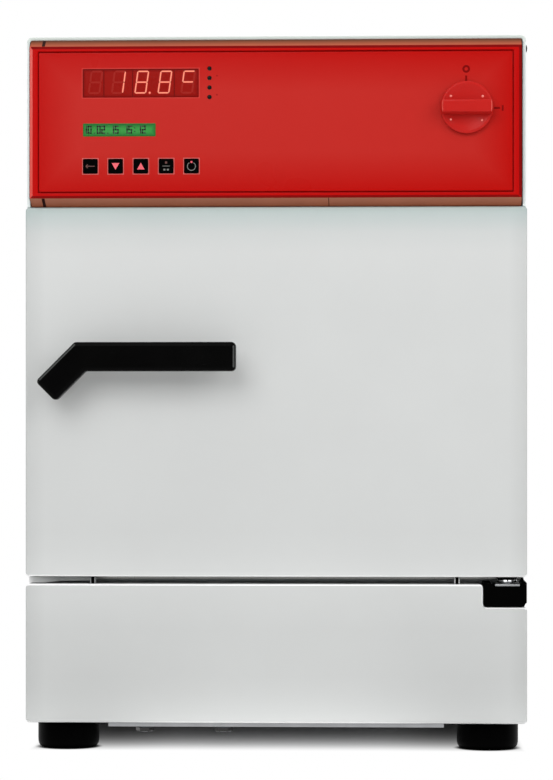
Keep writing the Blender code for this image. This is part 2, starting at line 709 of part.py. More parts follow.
def circulation_fan(finish):
    """Radial impeller: a back disc with curved blades, on the shaft that comes from the motor."""
    disc_back = LINER_BACK - 6.0
    disc_front = disc_back - 2.0
    front = BAFFLE_FRONT + BAFFLE_SHEET + 6.0
    hub = 10.0
    profile = [(0, front + 4.0), (hub, front + 4.0), (hub, disc_front), (IMPELLER_RADIUS, disc_front),
               (IMPELLER_RADIUS, disc_back), (FAN_SHAFT_RADIUS, disc_back),
               (FAN_SHAFT_RADIUS, INSULATION_BACK + 25.0), (0, INSULATION_BACK + 25.0)]
    impeller = turned("circulation_fan", profile, "Y", (0, 0, MIDDLE_Z), finish)
    blades = []
    for number in range(IMPELLER_BLADES):
        start = 2 * math.pi * number / IMPELLER_BLADES
        sides = []
        for thickness in (-0.8, 0.8):
            side = []
            for step in range(3):
                radius = 26.0 + (IMPELLER_RADIUS - 27.0) * step / 2
                a = start + 0.33 * step + thickness / radius
                side.append((radius * math.cos(a), MIDDLE_Z + radius * math.sin(a)))
            sides.append(side)
        blades.append(extruded("blade", [sides[0] + sides[1][::-1]], "Y", front, disc_front + 0.5,
                               finish))
    return smooth(fused(impeller, *blades))


def fan_motor(finish):
    start = INSULATION_BACK + GAP
    bore = FAN_SHAFT_RADIUS + RUNNING_GAP
    end = start + MOTOR_LENGTH
    profile = [(0, start + 28.0), (bore, start + 28.0), (bore, start), (MOTOR_RADIUS + 8.0, start),
               (MOTOR_RADIUS + 8.0, start + 3.0), (MOTOR_RADIUS, start + 3.0),
               (MOTOR_RADIUS, end - 3.0), (MOTOR_RADIUS - 4.0, end), (12.0, end), (10.0, end + 5.0),
               (0, end + 5.0)]
    return turned("fan_motor", profile, "Y", (0, 0, MIDDLE_Z), finish, 16)


def heater_ring(finish):
    """Tubular heater bent to a ring round the impeller, with two legs to the rear wall."""
    tube = HEATER_TUBE / 2
    d = (BAFFLE_FRONT + LINER_BACK) / 2
    profile = [(HEATER_RADIUS + tube * math.cos(a), d + tube * math.sin(a))
               for a in (math.radians(60 * i) for i in range(6))]
    ring = turned("heater_ring", profile, "Y", (0, 0, MIDDLE_Z), finish, 20, bored=True)
    legs = []
    for angle in (-82, -98):
        a = math.radians(angle)
        legs.append(rod("leg", "Y", (HEATER_RADIUS * math.cos(a), 0,
                                     MIDDLE_Z + HEATER_RADIUS * math.sin(a)),
                        tube * 0.9, d, LINER_BACK - GAP, finish, 8))
    return smooth(fused(ring, *legs))


def comb(x0, x1, z0, z1, fin, pitch, spine):
    """Section of a fin block: a spine with fins to the right."""
    count = int((z1 - z0 - fin) / pitch) + 1
    first = z0 + (z1 - z0 - fin - (count - 1) * pitch) / 2
    points = [(x0, first)]
    for i in range(count):
        z = first + i * pitch
        points += [(x1, z), (x1, z + fin)]
        if i < count - 1:
            points += [(x0 + spine, z + fin), (x0 + spine, z + pitch)]
    return points + [(x0, first + (count - 1) * pitch + fin)]


def evaporator(finish):
    left = EVAPORATOR_INSET - CHAMBER_HALF
    right = -HEATER_RADIUS - 16.0
    outline = comb(left, right, CHAMBER_BOTTOM + EVAPORATOR_MARGIN, CHAMBER_TOP - EVAPORATOR_MARGIN,
                   FIN, FIN_PITCH, EVAPORATOR_SPINE)
    fins = extruded("evaporator", [outline], "Y", BAFFLE_FRONT + BAFFLE_SHEET + 5.0,
                    LINER_BACK - 4.0, finish)
    pipes = [rod("pipe", "Y", (x, 0, z), PIPE / 2, LINER_BACK - 12.0, INSULATION_BACK + 12.0, finish, 12)
             for x, z in pipe_places()]
    return fused(fins, *pipes)


def temperature_probe(finish):
    end = LINER_BACK - GAP
    profile = [(0, BAFFLE_FRONT + 8.0), (1.8, BAFFLE_FRONT + 8.0), (2.5, BAFFLE_FRONT + 9.5),
               (2.5, end - 3.0), (6.0, end - 3.0), (6.0, end), (0, end)]
    return turned("temperature_probe", profile, "Y", (CHAMBER_HALF - 50.0, 0, MIDDLE_Z + 60.0),
                  finish, 12)


# Machine room

def machine_deck(finish):
    """Floor under the chamber, folded down at the front, with a notch for the copper lines."""
    front = FRAME_FACE + GAP
    section = [(front, DECK_TOP), (front, DECK_TOP - 11.0), (front + SHEET, DECK_TOP - 11.0),
               (front + SHEET, DECK_TOP - SHEET), (ROOM_BACK, DECK_TOP - SHEET), (ROOM_BACK, DECK_TOP)]
    deck = extruded("machine_deck", [section], "X", -INSIDE, INSIDE, finish)
    left, right = pipe_places()[0][0] - 25.0, CONDENSER_X - CONDENSER_WIDTH / 2 - 8.0
    notch = block("notch", (left, right), (INSULATION_BACK + 4.0, DEPTH),
                  (DECK_TOP - 20.0, DECK_TOP + 20.0), finish)
    return cut(deck, notch)


def bolt_places():
    return [(COMPRESSOR_X + side * BOLT_SPACING_X / 2, FIRST_BOLT_D + row * BOLT_SPACING_D)
            for side in (-1, 1) for row in (0, 1)]


def base_pan(finish):
    """Pressed floor pan: wings that the feet hold, a dropped middle and four compressor studs."""
    half = PAN_HALF
    low, wing = GROUND_CLEARANCE - PAN_DROP, GROUND_CLEARANCE
    section = [(-INSIDE, wing), (-half, wing), (-half, low), (half, low), (half, wing), (INSIDE, wing),
               (INSIDE, wing + SHEET), (half - SHEET, wing + SHEET), (half - SHEET, low + SHEET),
               (SHEET - half, low + SHEET), (SHEET - half, wing + SHEET), (-INSIDE, wing + SHEET)]
    pan = extruded("base_pan", [section], "Y", FRAME_FACE, ROOM_BACK, finish)
    tongue = block("tongue", (-half, half), (PAN_LIP_D, FRAME_FACE + 1.0), (low, low + SHEET), finish)
    lip = block("lip", (-half, half), (PAN_LIP_D, PAN_LIP_D + SHEET), (low, wing - GAP), finish)
    studs = []
    head = low - BOLT_HEAD_DROP
    end = PAN_FLOOR + GROMMET_HEIGHT + 10.0
    for x, d in bolt_places():
        profile = [(0, head - BOLT_HEAD_HEIGHT), (BOLT_HEAD, head - BOLT_HEAD_HEIGHT),
                   (BOLT_HEAD, head), (BOLT_COLLAR, head + 1.0), (BOLT_COLLAR, low + 0.5),
                   (BOLT_RADIUS, low + 0.5), (BOLT_RADIUS, end), (0, end)]
        studs.append(turned("stud", profile, "Z", (x, d, 0), finish, 8))
    return fused(pan, tongue, lip, *studs)


def foot(name, side, d, finish):
    top = GROUND_CLEARANCE - GAP
    edge = 3.5
    profile = [(0, 0), (FOOT_RADIUS - edge, 0), (FOOT_RADIUS - edge * 0.3, edge * 0.3),
               (FOOT_RADIUS, edge), (FOOT_RADIUS, top - 3.0), (FOOT_RADIUS - 2.0, top), (0, top)]
    return turned(name, profile, "Z", (side * (HALF - FOOT_INSET_X), d, 0), finish, 16)


def lower_front_panel(finish):
    """Pan-shaped cover of the machine room, notched for the door's hinge."""
    panel = tray("lower_front_panel", (-FACE_HALF, FACE_HALF), (GROUND_CLEARANCE, PANEL_TOP),
                 PANEL_BACK, finish)
    x0, z0 = hinge_notch()
    notch = block("notch", (x0, WIDTH), (-10.0, DEPTH), (z0, PANEL_TOP + 10.0), finish)
    return smooth(cut(panel, notch))


def tray(name, x, z, back, finish):
    """A folded sheet pan, open at the back, with a rounded rim round its face."""
    def ring(inset, d, corner):
        return at_depth(rectangle(x[0] + inset, x[1] - inset, z[0] + inset, z[1] - inset, corner, 2), d)

    rings = [ring(SHEET, SHEET, 1.0), ring(SHEET, back, 1.0), ring(0.0, back, 2.5)]
    for angle in (0, 30, 60, 90):
        a = math.radians(angle)
        rings.append(ring(FOLD * (1 - math.cos(a)), FOLD * (1 - math.sin(a)), 2.5))
    return smooth(lofted(name, rings, finish))


def hinge_notch():
    """Left edge and lower edge of the notch that holds the lower hinge."""
    return PIN_X - 20.6, PANEL_TOP - 19.5


def lower_hinge_bracket(finish):
    """Black moulded block that closes the notch, hollowed on top for the hinge plate."""
    x0, z0 = hinge_notch()
    left, low = x0 + GAP, z0 + GAP
    right = FACE_HALF - GAP
    seat = PANEL_TOP - SHEET - 0.5
    outline = [(left, low), (right - 2.5, low), (right - 1.0, low + 3.0), (right, low + 3.5),
               (right, PANEL_TOP + 1.5), (right - 1.5, PANEL_TOP + 3.0), (right - 4.0, PANEL_TOP + 2.0),
               (right - 5.0, seat), (left + 9.0, seat), (left + 6.0, PANEL_TOP + 1.5),
               (left, PANEL_TOP + 1.5)]
    return edged(extruded("lower_hinge_bracket", [outline], "Y", -0.8, PANEL_BACK, finish), 0.6, 1)


def lower_hinge_plate(finish):
    """Steel plate on the block, with the washer and the pin that the door turns on."""
    x0, _ = hinge_notch()
    base = PANEL_TOP - SHEET - 0.5 + GAP
    washer = DOOR_BOTTOM - GAP
    plate = block("lower_hinge_plate", (x0 + 10.0, FACE_HALF - 6.0), (1.0, PANEL_BACK),
                  (base, base + 2.2), finish)
    profile = [(0, base + 1.0), (5.5, base + 1.0), (5.5, washer - 3.0), (8.3, washer - 3.0),
               (8.3, washer), (PIN_RADIUS, washer), (PIN_RADIUS, DOOR_BOTTOM + PIN_REACH),
               (0, DOOR_BOTTOM + PIN_REACH)]
    pin = turned("pin", profile, "Z", (PIN_X, PIN_DEPTH, 0), finish)
    return smooth(fused(plate, pin))


def upper_hinge_bracket(finish):
    """Steel angle behind the control housing's floor, screwed to the frame, with the upper pin."""
    low = CONTROL_BOTTOM + HOUSING_WALL + GAP
    thickness = 3.0
    left, right = PIN_X - 16.0, housing_half() - HOUSING_WALL - GAP - 0.5
    section = [(PIN_DEPTH - 8.0, low), (PANEL_BACK, low), (PANEL_BACK, CONTROL_BOTTOM + FRAME_RISE),
               (PANEL_BACK - thickness, CONTROL_BOTTOM + FRAME_RISE),
               (PANEL_BACK - thickness, low + thickness), (PIN_DEPTH - 8.0, low + thickness)]
    angle = extruded("upper_hinge_bracket", [section], "X", left, right, finish)
    pin = rod("pin", "Z", (PIN_X, PIN_DEPTH, 0), PIN_RADIUS, DOOR_TOP - PIN_REACH, low + 1.0, finish)
    return smooth(fused(angle, pin))


def compressor(finish):
    """Hermetic compressor: oval shell with its weld seam, on a foot plate over four grommets."""
    start = PAN_FLOOR + GAP
    plate = start + GROMMET_HEIGHT
    bottom = plate + 2.0
    top = bottom + COMPRESSOR_HEIGHT
    seam = bottom + COMPRESSOR_HEIGHT * 0.55
    middle_d = FIRST_BOLT_D + BOLT_SPACING_D / 2
    unit = [(0.0, bottom), (0.72, bottom), (0.94, bottom + 12.0), (0.96, seam - 2.0), (1.0, seam - 2.0),
            (1.0, seam + 2.0), (0.94, seam + 2.0), (0.88, top - 20.0), (0.6, top - 3.0), (0.0, top)]
    half_width, half_depth = COMPRESSOR_WIDTH / 2, COMPRESSOR_DEPTH / 2
    shell = turned("compressor", [(r * half_width, z) for r, z in unit], "Z",
                   (COMPRESSOR_X, middle_d, 0), finish, 14, squeeze=(1.0, half_depth / half_width))
    width, depth = BOLT_SPACING_X + 26.0, BOLT_SPACING_D + 26.0
    outline = rectangle(COMPRESSOR_X - width / 2, COMPRESSOR_X + width / 2, middle_d - depth / 2,
                        middle_d + depth / 2, 8.0, 2)
    holes = [circle(x, d, BOLT_RADIUS + 0.6, 6) for x, d in bolt_places()]
    foot_plate = extruded("plate", [outline, *holes], "Z", plate, plate + 3.0, finish)
    grommets = []
    for x, d in bolt_places():
        bore = BOLT_RADIUS + 0.6
        profile = [(bore, start), (9.0, start), (9.0, plate + 0.5), (bore, plate + 0.5)]
        grommets.append(turned("grommet", profile, "Z", (x, d, 0), finish, 6, bored=True))
    ports = [rod("port", "Y", (x, middle_d, z), PIPE / 2, half_depth * 0.6, half_depth + 12.0, finish, 6)
             for x, z in port_places()]
    return smooth(fused(shell, foot_plate, *grommets, *ports))


def port_places():
    """The compressor's discharge and suction ports, as (x, z)."""
    bottom = PAN_FLOOR + GAP + GROMMET_HEIGHT + 2.0
    return [(COMPRESSOR_X + 14.0, bottom + 34.0), (COMPRESSOR_X - 14.0, bottom + 62.0)]


def condenser(finish):
    """Fin block with its two pipe stubs on the left."""
    left, right = CONDENSER_X - CONDENSER_WIDTH / 2, CONDENSER_X + CONDENSER_WIDTH / 2
    low = PAN_FLOOR + GAP
    outline = comb(left, right, low, low + CONDENSER_HEIGHT, 1.2, 6.8, 10.0)
    bottom = min(v for _, v in outline)
    outline = [(u, v - bottom + low) for u, v in outline]
    fins = extruded("condenser", [outline], "Y", CONDENSER_FRONT, CONDENSER_BACK, finish)
    stubs = [rod("stub", "X", (left, d, z), PIPE / 2, -10.0, 5.0, finish, 8)
             for _, d, z in stub_places()]
    return fused(fins, *stubs)


def stub_places():
    """Ends of the condenser's inlet and outlet stubs."""
    x = CONDENSER_X - CONDENSER_WIDTH / 2 - 10.0 - GAP
    d = (CONDENSER_FRONT + CONDENSER_BACK) / 2
    return [(x, d, PAN_FLOOR + CONDENSER_HEIGHT - 15.0), (x, d, PAN_FLOOR + 20.0)]


def condenser_fan_frame(finish):
    """Square frame with a round air way and a motor on four arms; it stands in the base pan."""
    half = COOLING_FAN / 2
    back, front = COOLING_FAN_BACK, COOLING_FAN_BACK - COOLING_FAN_DEPTH
    outline = centred(CONDENSER_X, COOLING_FAN_Z, COOLING_FAN, COOLING_FAN, 6.0)
    frame = extruded("condenser_fan_frame", [outline, circle(CONDENSER_X, COOLING_FAN_Z, half - 4.0)],
                     "Y", front, back, finish)
    hub = rod("hub", "Y", (CONDENSER_X, 0, COOLING_FAN_Z), 17.0, back - 5.0, back, finish)
    arms = [block("arm", (CONDENSER_X - half + 2.0, CONDENSER_X + half - 2.0), (back - 3.0, back),
                  (COOLING_FAN_Z - 2.0, COOLING_FAN_Z + 2.0), finish),
            block("arm", (CONDENSER_X - 2.0, CONDENSER_X + 2.0), (back - 3.0, back),
                  (COOLING_FAN_Z - half + 2.0, COOLING_FAN_Z + half - 2.0), finish)]
    shaft = rod("shaft", "Y", (CONDENSER_X, 0, COOLING_FAN_Z), 2.0, front + 6.0, back - 2.0, finish, 10)
    legs = [block("leg", (CONDENSER_X + side * 36.0 - 4.0, CONDENSER_X + side * 36.0 + 4.0),
                  (front + 4.0, back - 4.0), (PAN_FLOOR + GAP, COOLING_FAN_Z - half + 1.0), finish)
            for side in (-1, 1)]
    return smooth(fused(frame, hub, *arms, shaft, *legs))


def condenser_fan(finish):
    """Axial rotor: a cup that turns on the frame's shaft, with twisted blades."""
    front = COOLING_FAN_BACK - COOLING_FAN_DEPTH + 2.0
    back = COOLING_FAN_BACK - 5.0 - 1.0
    bore = 2.0 + RUNNING_GAP
    profile = [(0, front), (16.0, front), (16.0, back), (bore, back), (bore, front + 3.5),
               (0, front + 3.5)]
    centre = (CONDENSER_X, 0, COOLING_FAN_Z)
    rotor = turned("condenser_fan", profile, "Y", centre, finish, 14)
    tip = COOLING_FAN / 2 - 5.5
    blades = []
    for number in range(COOLING_BLADES):
        start = 2 * math.pi * number / COOLING_BLADES
        rings = []
        for radius, spread, rise in ((14.0, 0.34, 6.0), (26.0, 0.30, 5.4), (tip, 0.26, 4.6)):
            corners = []
            for side, thickness in ((-1, -0.7), (1, -0.7), (1, 0.7), (-1, 0.7)):
                a = start + side * spread
                d = (front + back) / 2 + side * rise + thickness
                corners.append((CONDENSER_X + radius * math.cos(a), d,
                                COOLING_FAN_Z + radius * math.sin(a)))
            rings.append(corners)
        blades.append(lofted("blade", rings, finish))
    return smooth(fused(rotor, *blades))


def filter_drier(finish):
    x, d, low = drier_place()
    end = DRIER_LENGTH
    profile = [(0, 0), (3.5, 0), (3.5, 8), (9.5, 16), (9.5, end - 16), (3.5, end - 8), (3.5, end),
               (0, end)]
    return turned("filter_drier", [(r, low + z) for r, z in profile], "Z", (x, d, 0), finish, 14)


def drier_place():
    x = CONDENSER_X - CONDENSER_WIDTH / 2 - DRIER_SPACE
    return (x, (INSULATION_BACK + ROOM_BACK) / 2, DECK_TOP + DRIER_RISE)


def copper_lines(finish):
    """The four lines of the cooling circuit, each from end to end of what it joins."""
    (discharge_x, discharge_z), (suction_x, suction_z) = port_places()
    port_d = FIRST_BOLT_D + BOLT_SPACING_D / 2 + COMPRESSOR_DEPTH / 2 + 12.0 + GAP
    inlet, outlet = stub_places()
    drier_x, drier_d, drier_low = drier_place()
    (cold_x, cold_low), (_, cold_high) = pipe_places()
    cold_d = INSULATION_BACK + 12.0 + GAP
    back, down, left = (0, 1, 0), (0, 0, -1), (-1, 0, 0)
    to_cold = cold_x - drier_x
    pipe("discharge_line", ((discharge_x, port_d, discharge_z), back), [
        (discharge_x, port_d + 60.0, discharge_z),
        (discharge_x + 12.0, inlet[1] - 60.0, (discharge_z + inlet[2]) / 2),
        (inlet[0] - 20.0, inlet[1] - 14.0, inlet[2])], (inlet, left), finish)
    pipe("liquid_line", (outlet, left), [
        (drier_x + 18.0, (outlet[1] + drier_d) / 2, outlet[2] + 12.0),
        (drier_x, drier_d, outlet[2] + 50.0)],
        ((drier_x, drier_d, drier_low - GAP), down), finish)
    pipe("capillary_line", ((drier_x, drier_d, drier_low + DRIER_LENGTH + GAP), (0, 0, 1)), [
        (drier_x + 0.2 * to_cold, drier_d, drier_low + DRIER_LENGTH + 22.0),
        (drier_x + 0.57 * to_cold, drier_d, drier_low + DRIER_LENGTH + 14.0),
        (cold_x + 4.0, cold_d + 20.0, cold_low - 12.0)], ((cold_x, cold_d, cold_low), back), finish)
    side = cold_x - 14.0
    pipe("suction_line", ((cold_x, cold_d, cold_high), back), [
        (side, cold_d + 26.0, cold_high - 26.0), (side, cold_d + 28.0, MIDDLE_Z),
        (side, cold_d + 28.0, DECK_TOP + 10.0), (side, cold_d + 10.0, suction_z + 10.0),
        (side + 6.0, cold_d - 40.0, suction_z), (suction_x, port_d + 50.0, suction_z)],
        ((suction_x, port_d, suction_z), back), finish)


def power_inlet(finish):
    """Mains inlet: a flange on the rear cover, a recess behind it and three flat pins."""
    face = DEPTH + INLET_PROUD
    outer = centred(INLET_X, INLET_Z, INLET_WIDTH + 22.0, INLET_HEIGHT + 8.0, 3.0)
    mouth = centred(INLET_X, INLET_Z, INLET_WIDTH - 3.6, INLET_HEIGHT - 3.5)
    flange = extruded("power_inlet", [outer], "Y", DEPTH + GAP, face, finish)
    body = extruded("body", [centred(INLET_X, INLET_Z, INLET_WIDTH, INLET_HEIGHT)], "Y",
                    DEPTH - INLET_DEPTH, DEPTH + 1.0, finish)
    recess = extruded("recess", [mouth], "Y", face - 16.0, face + 5.0, finish)
    inlet = cut(fused(flange, body), recess)
    pins = [block("pin", (INLET_X + dx - 1.0, INLET_X + dx + 1.0), (face - 17.0, face - 5.5),
                  (INLET_Z + dz - 2.0, INLET_Z + dz + 2.0), finish)
            for dx, dz in ((-7.0, -2.0), (0.0, 2.0), (7.0, -2.0))]
    return fused(inlet, *pins)


def power_board(finish):
    """Supply board with its transformer, relays and terminal strip, on the chamber's insulation."""
    z = INSULATION_TOP + GAP
    x0, d0 = POWER_BOARD_X, INSULATION_FRONT + POWER_BOARD_D
    face = z + POST_HEIGHT + BOARD
    board = extruded("power_board", [rectangle(x0, x0 + POWER_BOARD_WIDTH, d0, d0 + POWER_BOARD_LENGTH,
                                               POST_RADIUS)], "Z", face - BOARD, face, finish)
    edge = 8.0
    feet = [rod("post", "Z", (x0 + x, d0 + d, 0), POST_RADIUS, z, face - BOARD / 2, finish, 8)
            for x in (edge, POWER_BOARD_WIDTH - edge) for d in (edge, POWER_BOARD_LENGTH - edge)]
    relays = [(x0 + 0.6 * POWER_BOARD_WIDTH, d0 + RELAY_LENGTH * (0.7 + 1.3 * i), RELAY_WIDTH,
               RELAY_LENGTH, RELAY_HEIGHT) for i in range(3)]
    parts = [*relays, (x0 + 0.1 * POWER_BOARD_WIDTH, d0 + TRANSFORMER / 2, TRANSFORMER, TRANSFORMER,
                       TRANSFORMER * 0.8),
             (x0 + 2 * edge, d0 + POWER_BOARD_LENGTH - 30.0, POWER_BOARD_WIDTH - 4 * edge, 14.0, 14.0)]
    blocks = [block("component", (x, x + width), (d, d + length), (face - BOARD / 2, face + tall), finish)
              for x, d, width, length, tall in parts]
    return fused(board, *feet, *blocks)


# Controls

def housing_half():
    return HALF - 2 * SHEET - SIDE_SLOT


def control_housing(finish):
    """Moulded housing with chamfered top and bottom, a pocket for the panel and open at the back."""
    half = housing_half()
    top_height, top_depth = TOP_CHAMFER
    low_height, low_depth = BOTTOM_CHAMFER
    back = PANEL_BACK

    def ring(d, inset):
        low = CONTROL_BOTTOM + inset
        high = CONTROL_TOP - inset
        forward = d - inset
        low += low_height * max(0.0, (low_depth - PROUD - forward) / low_depth)
        high -= top_height * max(0.0, (top_depth - PROUD - forward) / top_depth)
        return at_depth(rectangle(inset - half, half - inset, low, high), d)

    depths = [back, low_depth - PROUD, top_depth - PROUD, -PROUD]
    inside = [HOUSING_FACE_BACK, top_depth - PROUD + HOUSING_WALL,
              low_depth - PROUD + HOUSING_WALL, back]
    rings = [ring(d, HOUSING_WALL) for d in inside] + [ring(d, 0.0) for d in depths]
    housing = lofted("control_housing", rings, finish)
    x0, x1, z0, z1 = panel_pocket()
    pocket = block("pocket", (x0, x1), (-PROUD - 5.0, PANEL_BACK_FACE + GAP), (z0, z1), finish)
    bx0, bx1, bz0, bz1 = board_window()
    window = block("window", (bx0, bx1), (-PROUD, HOUSING_FACE_BACK + 5.0), (bz0, bz1), finish)
    shaft = rod("hole", "Y", (SWITCH_X, 0, SWITCH_Z), 6.0, -PROUD, HOUSING_FACE_BACK + 5.0, finish)
    pin = rod("hole", "Z", (PIN_X, PIN_DEPTH, 0), PIN_RADIUS + 1.0, CONTROL_BOTTOM - 5.0,
              CONTROL_BOTTOM + HOUSING_WALL + 5.0, finish)
    return cut(housing, pocket, window, shaft, pin)


def panel_pocket():
    half = housing_half() - PANEL_MARGIN_X
    return (-half, half, CONTROL_BOTTOM + BOTTOM_CHAMFER[0] + PANEL_MARGIN_Z,
            CONTROL_TOP - TOP_CHAMFER[0] - PANEL_MARGIN_Z)


def board_window():
    """The opening behind the panel that holds the displays, lamps and keys."""
    return (FIRST_KEY_X - KEY_COLLAR / 2 - 3.0, LAMP_X + LAMP_RADIUS + 8.0,
            KEY_Z - KEY_COLLAR / 2 - 2.0, DISPLAY[1] + DISPLAY[3] / 2 + WINDOW_LIP + 1.5)


def key_places():
    return [(FIRST_KEY_X + i * KEY_PITCH, KEY_Z) for i in range(KEY_COUNT)]


def lamp_places():
    return [(LAMP_X, LAMP_Z + i * LAMP_PITCH) for i in range(LAMP_COUNT)]


def control_panel(finish):
    """Plate in the housing's pocket, cut out for the windows, keys, lamps and switch shaft."""
    x0, x1, z0, z1 = panel_pocket()
    outer = rectangle(x0 + GROOVE, x1 - GROOVE, z0 + GROOVE, z1 - GROOVE)
    holes = [centred(x, z, width + 0.6, height + 0.6) for x, z, width, height in (DISPLAY, TEXT_LINE)]
    holes += [centred(x, z, KEY_SIZE + 0.8, KEY_SIZE + 0.8) for x, z in key_places()]
    holes += [circle(x, z, LAMP_RADIUS + 0.3, 10) for x, z in lamp_places()]
    holes.append(circle(SWITCH_X, SWITCH_Z, 5.5, 16))
    return extruded("control_panel", [outer, *holes], "Y", -PROUD, PANEL_BACK_FACE, finish)


def window(name, place, finish):
    """Clear lens, flush with the panel, in front of its display module."""
    x, z, width, height = place
    lip = WINDOW_LIP * 2
    lens = extruded(name, [centred(x, z, width, height)], "Y", -PROUD, PANEL_BACK_FACE + 1.0, finish)
    module = extruded("module", [centred(x, z, width + lip, height + lip)], "Y",
                      PANEL_BACK_FACE + GAP, BOARD_DEPTH - GAP, finish)
    return fused(lens, module)


def key_board(finish):
    """Circuit board with a switch behind each key and a lamp behind each lamp hole."""
    x0, x1, z0, z1 = board_window()
    outline = rectangle(x0 - BOARD_MARGIN, x1 + BOARD_MARGIN, z0 - BOARD_MARGIN, z1 + BOARD_MARGIN)
    board = extruded("key_board", [outline], "Y", BOARD_DEPTH, BOARD_DEPTH + BOARD, finish)
    parts = [block("switch", (x - 3.5, x + 3.5), (BOARD_DEPTH - 2.0, BOARD_DEPTH + 0.5),
                   (z - 3.5, z + 3.5), finish) for x, z in key_places()]
    parts += [rod("lamp", "Y", (x, 0, z), LAMP_RADIUS, -PROUD - 0.4, BOARD_DEPTH + 0.5, finish, 10)
              for x, z in lamp_places()]
    parts += [rod("post", "Y", (x, 0, z), 2.5, HOUSING_FACE_BACK + GAP, BOARD_DEPTH + 0.5, finish, 6)
              for x in (x0 - BOARD_MARGIN / 2, x1 + BOARD_MARGIN / 2)
              for z in (z0 - BOARD_MARGIN / 2, z1 + BOARD_MARGIN / 2)]
    return fused(board, *parts)


def key(number, finish):
    """Square key cap with a collar that keeps it behind the panel, and its stem."""
    x, z = key_places()[number]
    cap_front = -PROUD - KEY_PROUD
    collar = PANEL_BACK_FACE + GAP
    stem_end = BOARD_DEPTH - 2.0 - KEY_TRAVEL - GAP
    cap = extruded(f"key_{number + 1}", [centred(x, z, KEY_SIZE, KEY_SIZE, 1.0)], "Y", cap_front,
                   collar + 0.5, finish)
    flange = extruded("collar", [centred(x, z, KEY_COLLAR, KEY_COLLAR)], "Y", collar, collar + 1.5,
                      finish)
    stem = rod("stem", "Y", (x, 0, z), 2.5, collar + 1.0, stem_end, finish, 8)
    return fused(cap, flange, stem)


def switch_knob(finish):
    """Round knob with a grip bar across it and a shaft through the panel."""
    disc_back = -PROUD - 0.5
    disc_front = disc_back - KNOB_DISC
    front = disc_back - KNOB_HEIGHT
    shaft_end = SWITCH_DEPTH / 2
    profile = [(0, disc_front), (KNOB_RADIUS - 1.5, disc_front), (KNOB_RADIUS, disc_front + 1.5),
               (KNOB_RADIUS, disc_back), (4.0, disc_back), (4.0, shaft_end), (0, shaft_end)]
    centre = (SWITCH_X, 0, SWITCH_Z)
    disc = turned("switch_knob", profile, "Y", centre, finish, 24)
    half = GRIP_HEIGHT / 2
    end = math.asin(half / (KNOB_RADIUS - 0.5))
    arc = [end * (i / 3 - 1) for i in range(7)]
    radius = KNOB_RADIUS - 0.5
    right = [(SWITCH_X + radius * math.cos(a), SWITCH_Z + radius * math.sin(a)) for a in arc]
    left = [(2 * SWITCH_X - x, z) for x, z in reversed(right)]
    grip = edged(extruded("grip", [right + left], "Y", front, disc_front + 1.0, finish), 1.2, 2, 40.0)
    return smooth(fused(disc, grip))


def main_switch(finish):
    """Cam switch behind the housing's face, with a bore for the knob's shaft and two terminals."""
    front = HOUSING_FACE_BACK + GAP
    body = extruded("main_switch", [centred(SWITCH_X, SWITCH_Z, SWITCH_BODY, SWITCH_BODY, 4.0)], "Y",
                    front, front + SWITCH_DEPTH, finish)
    terminals = [block("terminal", (SWITCH_X + side * 12.0 - 3.0, SWITCH_X + side * 12.0 + 3.0),
                       (front + SWITCH_DEPTH - 1.0, front + SWITCH_DEPTH + 7.0),
                       (SWITCH_Z - 12.0, SWITCH_Z + 12.0), finish) for side in (-1, 1)]
    bore = rod("bore", "Y", (SWITCH_X, 0, SWITCH_Z), 4.0 + RUNNING_GAP, front - 5.0,
               SWITCH_DEPTH * 0.5 + 2.0, finish)
    return cut(fused(body, *terminals), bore)


# Door

def bush_cutters(radius, finish):
    cutters = []
    for low, high in ((DOOR_BOTTOM - 5.0, DOOR_BOTTOM + BUSH_LENGTH + GAP),
                      (DOOR_TOP - BUSH_LENGTH - GAP, DOOR_TOP + 5.0)):
        cutters.append(rod("hole", "Z", (PIN_X, PIN_DEPTH, 0), radius, low, high, finish, 20))
    return cutters


def spindle_hole(radius, finish):
    return rod("hole", "Y", (HANDLE_X, 0, HANDLE_Z), radius, -5.0, PANEL_BACK, finish)


def door_shell(finish):
    shell = tray("door_shell", (-FACE_HALF, FACE_HALF), (DOOR_BOTTOM, DOOR_TOP), DOOR_THICKNESS, finish)
    hole = spindle_hole(SPINDLE_RADIUS + RUNNING_GAP, finish)
    return smooth(cut(shell, hole, *bush_cutters(BUSH_RADIUS + GAP, finish)))


def door_insulation(finish):
    inset = SHEET + GAP
    foam = block("door_insulation", (inset - FACE_HALF, FACE_HALF - inset),
                 (SHEET + GAP, DOOR_THICKNESS - SHEET - GAP), (DOOR_BOTTOM + inset, DOOR_TOP - inset),
                 finish)
    return cut(foam, spindle_hole(SPINDLE_RADIUS + 1.5, finish), *bush_cutters(BUSH_RADIUS + 0.6, finish))


def door_liner(finish):
    """Inner pan of the door, its middle pressed out towards the chamber."""
    inset = SHEET + GAP
    rim, slope = DOOR_RIM, DOOR_SLOPE

    def ring(margin, d):
        return at_depth(rectangle(margin - FACE_HALF, FACE_HALF - margin, DOOR_BOTTOM + margin,
                                  DOOR_TOP - margin), d)

    back, front = DOOR_THICKNESS, DOOR_THICKNESS - SHEET
    rings = [ring(rim + slope, front + DOOR_PRESSING), ring(rim, front), ring(inset, front),
             ring(inset, back), ring(rim - 1.0, back), ring(rim + slope - 1.0, back + DOOR_PRESSING)]
    pan = lofted("door_liner", rings, finish)
    return cut(pan, spindle_hole(SPINDLE_RADIUS + RUNNING_GAP, finish))


